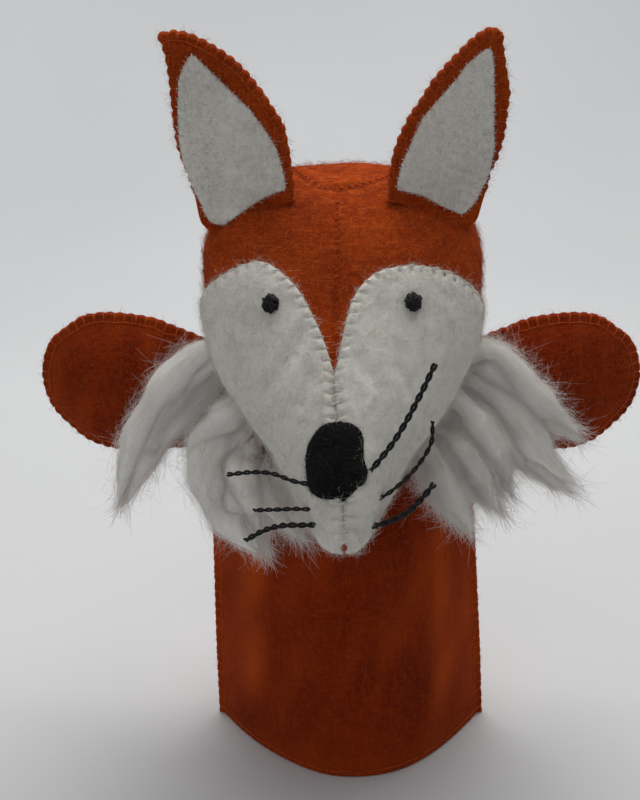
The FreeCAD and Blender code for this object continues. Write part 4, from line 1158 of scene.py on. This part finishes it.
out, cusps, nrm = scallop(base_o, len3, 4.0, 0.95, glove_edge)
out[:, 1] = np.maximum(out[:, 1], 0.0)


def vcut(x, lo, hi):
    zs = np.arange(lo, hi, 1.2)
    return np.stack([np.full(len(zs), x), zs], -1)


def crossing(x, above):
    """The outline's z where it crosses x, lowest or highest."""
    q = np.vstack([out, out[:1]])
    zz = []
    for k in range(len(q) - 1):
        if (q[k, 0] - x) * (q[k + 1, 0] - x) <= 0 and q[k, 0] != q[k + 1, 0] and q[k, 1] > 108:
            t = (x - q[k, 0]) / (q[k + 1, 0] - q[k, 0])
            zz.append(q[k, 1] + t * (q[k + 1, 1] - q[k, 1]))
    return (min(zz), max(zz))


CUT1, CUT2 = 52.0, 75.0
cuts = []
for x in (CUT1, CUT2, -CUT1, -CUT2):
    lo_, hi_ = crossing(x, True)
    z_ = np.linspace(lo_, hi_, 42)
    cuts.append(np.stack([np.full(42, x), z_], -1))
GP, GT, _ = fill(out, 1.7, rings=(0.35, 0.8, 1.35), cuts=cuts)
GD, _ = line_dist(GP, np.vstack([out, out[:1]]))
cen = GP[GT].mean(1)
REGION = {
    "body": (np.abs(cen[:, 0]) <= CUT1) | (cen[:, 1] < 112.0),
    "left_sleeve": (cen[:, 0] > CUT1) & (cen[:, 0] <= CUT2) & (cen[:, 1] >= 112.0),
    "left_paw": (cen[:, 0] > CUT2),
    "right_sleeve": (cen[:, 0] < -CUT1) & (cen[:, 0] >= -CUT2) & (cen[:, 1] >= 112.0),
    "right_paw": (cen[:, 0] < -CUT2),
}


def join(o, region):
    if region == "body":
        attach(o, "glove")
    else:
        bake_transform(o)


REPL = {
    ("body", 0): ["glove_front"], ("body", 1): ["glove_back"],
    ("left_sleeve", 0): ["arm_left_sleeve_front"], ("left_sleeve", 1): ["arm_left_sleeve_back"],
    ("right_sleeve", 0): ["arm_right_sleeve_front"], ("right_sleeve", 1): ["arm_right_sleeve_back"],
    ("left_paw", 0): ["arm_left_paw_front"], ("left_paw", 1): ["arm_left_paw_back"],
    ("right_paw", 0): ["arm_right_paw_front"], ("right_paw", 1): ["arm_right_paw_back"],
}
PANELS = {}
for back in (0, 1):
    fo, fi = faces_of(GP[:, 0], GP[:, 1], GD, bool(back))
    # stitches press a shallow line just inside the edge
    press = 0.35 * np.exp(-((GD - 2.1) / 0.7) ** 2)
    fo = fo - press
    sg = 1.0 if back else -1.0
    A = np.stack([GP[:, 0], sg * fo, GP[:, 1]], -1)
    B = np.stack([GP[:, 0], sg * fi, GP[:, 1]], -1)
    Vall = np.vstack([A, B])
    Fall = shell_faces(GT, len(GP))
    if back:
        Fall = [f[::-1] for f in Fall]
    Nall = vertex_normals(Vall, Fall)
    for reg, mask in REGION.items():
        FF = shell_faces(GT[mask], len(GP))
        if back:
            FF = [f[::-1] for f in FF]
        v, f, nn = compact(Vall, FF, Nall)
        o = mk("%s_felt_%s" % (reg if reg != "body" else "glove", "back" if back else "front"), v, f, GLOVE_SHADED_FELT, normals=nn)
        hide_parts(*REPL[(reg, back)])
        PANELS[(reg, back)] = o
        join(o, reg)
        # Painted light on the glove: edge paints light near the outline where the felt lets light through, band paints
        # highlights along the two vertical folds, and blot is random mottling of the felt.
        edge = np.exp(-(GD / 7.5) ** 1.5) * (0.42 - 0.22 * smooth01((np.abs(GP[:, 0]) - 54) / 6))
        bx, bz = GP[:, 0], GP[:, 1]
        band = 0.75 * np.exp(-((bx + 34 - 0.03 * (bz - 60)) / 6.0) ** 2) + 0.70 * np.exp(-((bx - 38 + 0.03 * (bz - 60)) / 6.0) ** 2)
        band = band * smooth01(bz / 40.0) * smooth01((118 - bz) / 15.0)
        blot = 0.14 * W_GM(np.c_[bx * 1.6, bx * 0 + 40 * back, bz]) + 0.10 * W_GL(np.c_[bx, bx * 0 + 90, bz * 1.5])
        painted_light_and_mottle = np.clip(edge + band * (0.8 + blot) + blot, 0, 0.85)
        used = sorted({q for ff in FF for q in ff})
        at = o.data.attributes.new("painted_light_and_mottle", "FLOAT", "POINT")
        at.data.foreach_set("value", np.concatenate([painted_light_and_mottle, painted_light_and_mottle])[used].astype(np.float32))


# threads round the glove and arms
def region_of(x, z):
    if abs(x) <= CUT1 or z < 112:
        return "body"
    s = "left" if x > 0 else "right"
    return s + ("_sleeve" if abs(x) <= CUT2 else "_paw")


bags = {r: Bag() for r in REGION}
rg = np.random.default_rng(141)


def surf(p, back, lift):
    p = np.asarray(p, float).reshape(-1, 2)
    D = np.sqrt(depth(p[:, 0], p[:, 1], back) ** 2 + TE ** 2)
    return np.stack([p[:, 0], (1 if back else -1) * (D + lift), p[:, 1]], -1)


inners = {0: [], 1: []}
for k in cusps:
    x, z = base_o[k]
    if z > 120 and abs(x) < 29:
        inners[0].append(None)
        inners[1].append(None)
        continue
    e = out[k] + nrm[k] * 0.3
    i1 = out[k] - nrm[k] * 0.8
    depth_in = 2.3 + rg.uniform(-0.25, 0.25)
    i2 = out[k] - nrm[k] * depth_in
    reg = region_of(x, z)
    r = 0.30 if z > 2 else 0.25
    if z > 2.0:
        pts = np.vstack([surf(i2, 0, -0.15), surf(i1, 0, 0.2), [[e[0], -0.9, e[1]]], [[e[0], 0.9, e[1]]], surf(i1, 1, 0.2), surf(i2, 1, -0.15)])
        bags[reg].tube(spline(pts, 15), r, 6)
    else:
        for back in (0, 1):
            sg = 1 if back else -1
            So = surf(i2, back, -0.15)[0]
            S1 = surf(i1, back, 0.15)[0]
            E1 = surf(np.array([e[0], 0.15]), back, -0.6)[0]
            E2 = surf(np.array([e[0], 0.15]), back, -1.8)[0]
            I1 = surf(i1, back, -TF - 0.15)[0]
            I2 = surf(i2, back, -TF + 0.15)[0]
            bags["body"].tube(spline(np.array([So, S1, E1, E2, I1, I2]), 14), r, 6)
    inners[0].append(i2)
    inners[1].append(i2)
for back in (0, 1):
    lst = inners[back]
    # start after a gap so that each run is whole
    g = [i for i, q in enumerate(lst) if q is None]
    if g:
        lst = lst[g[-1] + 1:] + lst[:g[-1] + 1]
    run, reg0 = [], None
    for q in lst + [None]:
        reg = None if q is None else region_of(q[0], q[1])
        if q is None or (reg0 is not None and reg != reg0):
            if q is not None:
                # meet exactly on the cut
                xc = math.copysign(CUT1 if "body" in (reg, reg0) else CUT2, q[0])
                pz = run[-1]
                t = (xc - pz[0]) / (q[0] - pz[0]) if abs(q[0] - pz[0]) > 1e-6 else 0.5
                mid_p = pz + np.clip(t, 0, 1) * (q - pz)
                run.append(mid_p)
            if len(run) > 2:
                c2 = spline(np.array(run), len(run) * 7)
                bags[reg0].tube(surf(c2, bool(back), 0.10), 0.25, 6)
            run = [mid_p] if q is not None else []
        if q is not None:
            run.append(q)
        reg0 = reg
THREADS = {
    "body": ["side_stitch_left", "side_stitch_right", "hem_stitch_front", "hem_stitch_back"],
    "left_sleeve": ["arm_left_stitch_top", "arm_left_stitch_bottom"], "right_sleeve": ["arm_right_stitch_top", "arm_right_stitch_bottom"],
    "left_paw": ["arm_left_stitch_paw"], "right_paw": ["arm_right_stitch_paw"],
}
for reg, bag in bags.items():
    o = bag.make("%s_edge_stitches" % (reg if reg != "body" else "glove"), ORANGE_YARN)
    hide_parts(*THREADS[reg])
    join(o, reg)

for (reg, back), o in PANELS.items():
    n = {"body": 7400, "left_sleeve": 1600, "right_sleeve": 1600, "left_paw": 2600, "right_paw": 2600}[reg]
    if back:
        n = n // 2
    sg = 1 if back else -1
    zf = fuzz("%s_fuzz_%s" % (reg if reg != "body" else "glove", "back" if back else "front"), o, n, 2.3, 0.042, FUZZ_O, 151 + back * 10 + len(reg),
              keep=lambda c, nn, sg=sg: ((nn[:, 1] * sg > -0.25) & (c[:, 2] > 3.0)).astype(float))
    join(zf, reg)


# ------------------------------------------------------------------ neck
VV, FF = rope(np.array([(16.0 * math.cos(t), 16.0 * math.sin(t), 157.0) for t in np.linspace(0, 2 * math.pi * 0.998, 160)]), 1.25, strands=2, pitch=3.2, sides=8, step=0.5, fill=0.6)
o = mk("neck_stitch_cord", VV, FF, ORANGE_YARN)
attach(o, "neck_joint")
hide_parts("neck_stitch_ring")
# the felt collar: a strip gathered round the neck, pinched by the cord and let into the head
PRO = np.array([(15.9, 139.0), (16.1, 146.0), (16.5, 151.0), (16.6, 154.0), (15.7, 157.0), (16.9, 160.0), (18.5, 164.5), (19.9, 168.8)])
pc_ = spline(PRO, 30)
th_ = np.arange(144) * 2 * math.pi / 144
gat = 0.35 * np.sin(17 * th_)[None, :] * np.exp(-((pc_[:, 1:2] - 157.0) / 5.0) ** 2)
ro_ = pc_[:, :1] + gat
ri_ = ro_ - 1.7
zc_ = pc_[:, 1:2] + 0 * ro_
ring_o = np.stack([ro_ * np.cos(th_), ro_ * np.sin(th_), zc_], -1)
ring_i = np.stack([ri_ * np.cos(th_), ri_ * np.sin(th_), zc_], -1)
VV = np.vstack([ring_o.reshape(-1, 3), ring_i.reshape(-1, 3)])
ix = np.arange(30 * 144).reshape(30, 144)
nx = np.roll(ix, -1, 1)
FF = np.stack([ix[:-1], nx[:-1], nx[1:], ix[1:]], -1).reshape(-1, 4).tolist()
FF += (np.stack([ix[:-1], ix[1:], nx[1:], nx[:-1]], -1).reshape(-1, 4) + 30 * 144).tolist()
for j in range(144):
    a_, b_ = int(ix[-1, j]), int(nx[-1, j])
    FF.append([a_, b_, b_ + 30 * 144, a_ + 30 * 144])
    a_, b_ = int(ix[0, j]), int(nx[0, j])
    FF.append([b_, a_, a_ + 30 * 144, b_ + 30 * 144])
collar = mk("neck_collar_felt", VV, FF, GLOVE_SHADED_FELT)
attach(collar, "neck")
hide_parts("neck_band")
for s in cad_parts["finger_tube"].material_slots:
    s.material = CARD


# ------------------------------------------------------------------ mane of combed wool
def lock(name, stations, seed, node_name=None, rolls=4, wisps=420, flare=4.0, part="glove", spread=0.60, roll_r=0.60, tip=1.0):
    """A lock of roving: a few soft rolls lying together, wrapped in fine fibres that fly away at the edges and thin out at the end."""
    C = np.array([p for p, r in stations], float)
    R = np.array([r for p, r in stations], float)
    rg = np.random.default_rng(seed)
    m = 60
    path = spline(C, m)
    t = np.linspace(0, 1, m)
    chord = np.concatenate([[0], np.cumsum(np.linalg.norm(np.diff(C, axis=0), axis=1))])
    rad = np.interp(t, chord / chord[-1], R)
    T, _, _ = frames(path)
    fwd = np.array([0, -1.0, 0])
    Uf = unit(fwd - T * (T @ fwd)[:, None])
    Wf = np.cross(T, Uf)
    allV, allF, allS, nb = [], [], [], 0
    fib = []
    for q in range(rolls):
        across = (q - (rolls - 1) / 2) / max(1, rolls) * 2.0
        ph = rg.uniform(0, 6.28, 6)
        ww = rad * (spread * across + 0.20 * np.sin(3.1 * t * rg.uniform(0.7, 1.3) + ph[0]) + 0.10 * np.sin(8 * t + ph[1]))
        uu = rad * (0.34 * math.cos(math.pi * q + ph[2] * 0.2) + 0.16 * np.sin(4.2 * t + ph[3]))
        end = rg.uniform(0.80, 1.0)
        pc = path + ww[:, None] * Wf + uu[:, None] * Uf
        tail = np.clip((t - 0.55) / 0.45, 0, 1) ** 2
        pc = pc + (rg.normal(0, flare * 0.7) * tail)[:, None] * Wf + (rg.normal(0, flare * 0.35) * tail)[:, None] * Uf
        kk, sides = 72, 30
        si = np.linspace(0, end, kk)
        ic = lambda A: np.stack([np.interp(si, t, A[:, c]) for c in range(3)], -1)
        c_, T_ = ic(pc), unit(np.gradient(ic(pc), axis=0))
        U_ = unit(ic(Uf) - T_ * (T_ * ic(Uf)).sum(1, keepdims=True))
        W_ = np.cross(T_, U_)
        r = np.interp(si, t, rad) * roll_r * rg.uniform(0.85, 1.2)
        x = si / end
        r = r * np.clip((1 - x) / 0.33, 0, 1) ** 0.75 * (0.55 + 0.45 * np.clip(x / 0.08, 0, 1))
        r = r * (1 + 0.10 * np.sin(x * 11 + ph[4]) + 0.06 * np.sin(x * 23 + ph[5])) + 0.12
        th = np.arange(sides) * 2 * math.pi / sides
        tw = 2.6 * x[:, None] * rg.choice([-1, 1]) + th[None]
        bump = 1 + 0.07 * np.sin(2 * tw + ph[0]) + 0.03 * np.sin(5 * tw + ph[1]) + 0.015 * np.sin(9 * tw + ph[2])
        rr = r[:, None] * bump
        ring = c_[:, None] + rr[..., None] * (np.cos(th)[None, :, None] * U_[:, None] + np.sin(th)[None, :, None] * W_[:, None])
        CV = np.vstack([ring.reshape(-1, 3), c_[0] - T_[0] * 0.3, c_[-1] + T_[-1] * 0.4])
        ix = np.arange(kk * sides).reshape(kk, sides)
        CF = np.stack([ix[:-1], np.roll(ix[:-1], -1, 1), np.roll(ix[1:], -1, 1), ix[1:]], -1).reshape(-1, 4).tolist()
        CF += [[kk * sides, int(ix[0, (j + 1) % sides]), int(ix[0, j])] for j in range(sides)] + [[kk * sides + 1, int(ix[-1, j]), int(ix[-1, (j + 1) % sides])] for j in range(sides)]
        sx_ = np.cos(tw) * 7.0 + q * 31
        sy_ = np.sin(tw) * 7.0
        sz_ = np.repeat(x[:, None] * 3.0, sides, 1)
        st = np.stack([sx_, sy_, sz_], -1).reshape(-1, 3)
        allS.append(np.vstack([st, st[:1], st[-1:]]))
        allV.append(CV)
        allF += [[v + nb for v in f] for f in CF]
        nb += len(CV)
        # fine fibres lying along the roll, and some that leave it
        n = wisps // rolls
        k = 12
        tt = np.linspace(0, 1, k)
        a0 = rg.uniform(-0.1, 0.7, n)
        a1 = np.clip(a0 + rg.uniform(0.25, 0.6, n), 0.2, 1.16)
        a0 = np.clip(a0, 0, 1)
        sp = a0[:, None] + (a1 - a0)[:, None] * tt[None]
        sc = np.clip(sp, 0, 1)
        ci = lambda A: np.stack([np.interp(sc, x, A[:, c]) for c in range(3)], -1)
        rs_ = np.interp(sc, x, r)
        an_ = rg.uniform(0, 6.28, n)[:, None] + rg.normal(0, 0.7, n)[:, None] * tt * 1.5
        loose = (np.abs(rg.normal(0, 1, n)) ** 1.6 * 0.9)[:, None] * (tt ** 1.7)[None]
        wig = 0.55 * np.sin(rg.uniform(3, 9, n)[:, None] * tt[None] + rg.uniform(0, 6.28, n)[:, None])
        rho = rs_ * 1.02 + 0.10 + loose * 1.6 + wig * (0.3 + tt)
        late = np.clip(sp - 0.93, 0, 0.3)
        P = ci(c_) + (rho * np.cos(an_))[..., None] * ci(U_) + (rho * np.sin(an_))[..., None] * ci(W_) + (late * 24 * tip)[..., None] * ci(T_)
        P = P + (late * 13)[..., None] * rg.normal(0, 1, (n, 1, 3))
        fib.append(P)
    P = np.vstack(fib)
    FV, FF = fibre_mesh(P, 0.06 * rg.uniform(0.6, 1.5, len(P))[:, None] * (1 - 0.5 * np.linspace(0, 1, P.shape[1]) ** 2)[None], seed + 1)
    o = mk(name, np.vstack(allV), allF, ROVING)
    at = o.data.attributes.new("strand", "FLOAT_VECTOR", "POINT")
    at.data.foreach_set("vector", np.vstack(allS).astype(np.float32).ravel())
    w = mk(name + "_wisps", FV, FF, WISP)
    z = fuzz(name + "_fluff", o, 4600, 5.0, 0.036, WISP, seed + 2, lift=0.40, curl=1.3, k=7)
    for x in (o, w, z):
        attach(x, part)
    if node_name:
        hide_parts(node_name)
    return o


lock("mane_right_long", [((-42, -17, 160), 5.5), ((-50, -18.5, 154), 8.0), ((-60, -19.5, 143), 9.0), ((-70, -20.5, 129), 8.5), ((-77, -21, 114), 6.0), ((-84, -22, 97), 3.0)], 201, "mane_right_outer", rolls=5, wisps=1100, flare=3.0)
lock("mane_right_short", [((-31, -27, 147), 5.0), ((-40, -29.5, 139), 7.5), ((-47, -31, 129), 8.5), ((-49, -31, 119), 7.0), ((-46, -31, 112), 4.0)], 203, rolls=3, wisps=600, flare=1.5, roll_r=0.66)
lock("mane_right_hanging", [((-36, -30, 134), 7.0), ((-41, -34, 124), 9.5), ((-38, -38, 110), 9.5), ((-31, -41, 97), 7.0), ((-25, -43, 86), 3.5)], 205, "mane_right_inner", rolls=5, wisps=1200, flare=4.0)
lock("mane_right_under_chin", [((-26, -37, 125), 5.0), ((-24, -42, 115), 7.0), ((-17, -45, 106), 6.0), ((-10, -47, 98), 3.5)], 207, rolls=3, wisps=600, flare=4.0)
lock("mane_left_arch", [((42, -17, 153), 4.0), ((47, -18.5, 159.5), 5.0), ((54, -19, 160), 5.6), ((61, -19.5, 153.5), 5.8), ((69, -19.5, 143), 5.8), ((78, -19, 134), 5.2), ((90, -18, 126), 3.6)], 209, "mane_left_outer", rolls=3, wisps=800, flare=1.0, spread=0.45, roll_r=0.72)
lock("mane_left_wide", [((40, -20, 152), 6.0), ((50, -21, 144), 7.5), ((60, -22, 133), 8.5), ((71, -22.5, 121), 7.5), ((80, -23, 111), 5.6), ((87, -23, 103), 3.5)], 211, "mane_left_middle", rolls=4, wisps=1000, flare=3.0)
lock("mane_left_third", [((34, -26, 146), 5.5), ((44, -28, 137), 7.5), ((52, -29, 129), 8.0), ((57, -29, 120), 7.0), ((63, -29, 106), 4.0)], 213, "mane_left_inner", rolls=3, wisps=800, flare=2.5, roll_r=0.62)
lock("mane_left_fourth", [((30, -32, 138), 5.0), ((41, -34, 130), 7.0), ((47, -35, 120), 7.0), ((53, -36, 111), 6.0), ((59, -37, 101), 3.5)], 215, rolls=3, wisps=800, flare=2.5, roll_r=0.62)
lock("mane_left_fifth", [((25, -38, 132), 4.5), ((32, -41, 123), 6.5), ((37, -42, 116), 6.5), ((43, -43, 106), 5.0), ((46, -43, 98), 3.0)], 217, rolls=3, wisps=800, flare=3.0, roll_r=0.62)


# ------------------------------------------------------------------ fuzz on the head
def head_side(c, n):
    return ((c[:, 1] > -98) * (0.25 + 0.75 * (c[:, 2] > 150))).astype(float)


for tag, n, sd, test in (("front", 7400, 301, lambda c: (c[:, 1] < -2) & ((c[:, 1] > -40) | (c[:, 2] > 185)) & (c[:, 2] > 165)), ("back", 6000, 311, lambda c: c[:, 1] >= -2)):
    hf = fuzz("head_fuzz_" + tag, head, n, 3.4, 0.044, FUZZ_O, sd, keep=lambda c, n_, test=test: test(c).astype(float), lift=0.3, curl=0.8)
    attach(hf, "head")
for tag, pt, sd in (("right", patch_r, 303), ("left", patch_l, 305)):
    pf = fuzz("cheek_patch_%s_fuzz" % tag, pt, 7400, 2.8, 0.036, FUZZ_W, sd, keep=lambda c, n: ((n * (c - np.array([0, -40.0, 160]))).sum(1) > 0).astype(float), lift=0.34, curl=0.8)
    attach(pf, "head")


# ------------------------------------------------------------------ floor and backdrop
def sweep_plane():
    prof = [(-1.6, 0.0), (0.55, 0.0)]
    for k in range(1, 13):
        a = math.radians(90 * k / 12)
        prof.append((0.55 + 0.45 * math.sin(a), 0.45 - 0.45 * math.cos(a)))
    prof += [(1.0, 1.0), (1.0, 2.4)]
    v, f = [], []
    for k, (y, z) in enumerate(prof):
        v += [(-2.6, y, z), (2.6, y, z)]
        if k:
            f.append([2 * k - 2, 2 * k - 1, 2 * k + 1, 2 * k])
    me = bpy.data.meshes.new("floor")
    me.from_pydata(v, [], f)
    me.polygons.foreach_set("use_smooth", [True] * len(f))
    o = bpy.data.objects.new("floor", me)
    scene.collection.objects.link(o)
    m, t, p = material("paper_backdrop")
    c = ramp(t, noise_at(t, 3.0, 2.0, 0.5), [(0.3, (0.74, 0.75, 0.765)), (0.7, (0.80, 0.81, 0.825))])
    t.links.new(c, p.inputs["Base Color"])
    p.inputs["Roughness"].default_value = 0.9
    p.inputs["Specular IOR Level"].default_value = 0.1
    me.materials.append(m)


sweep_plane()
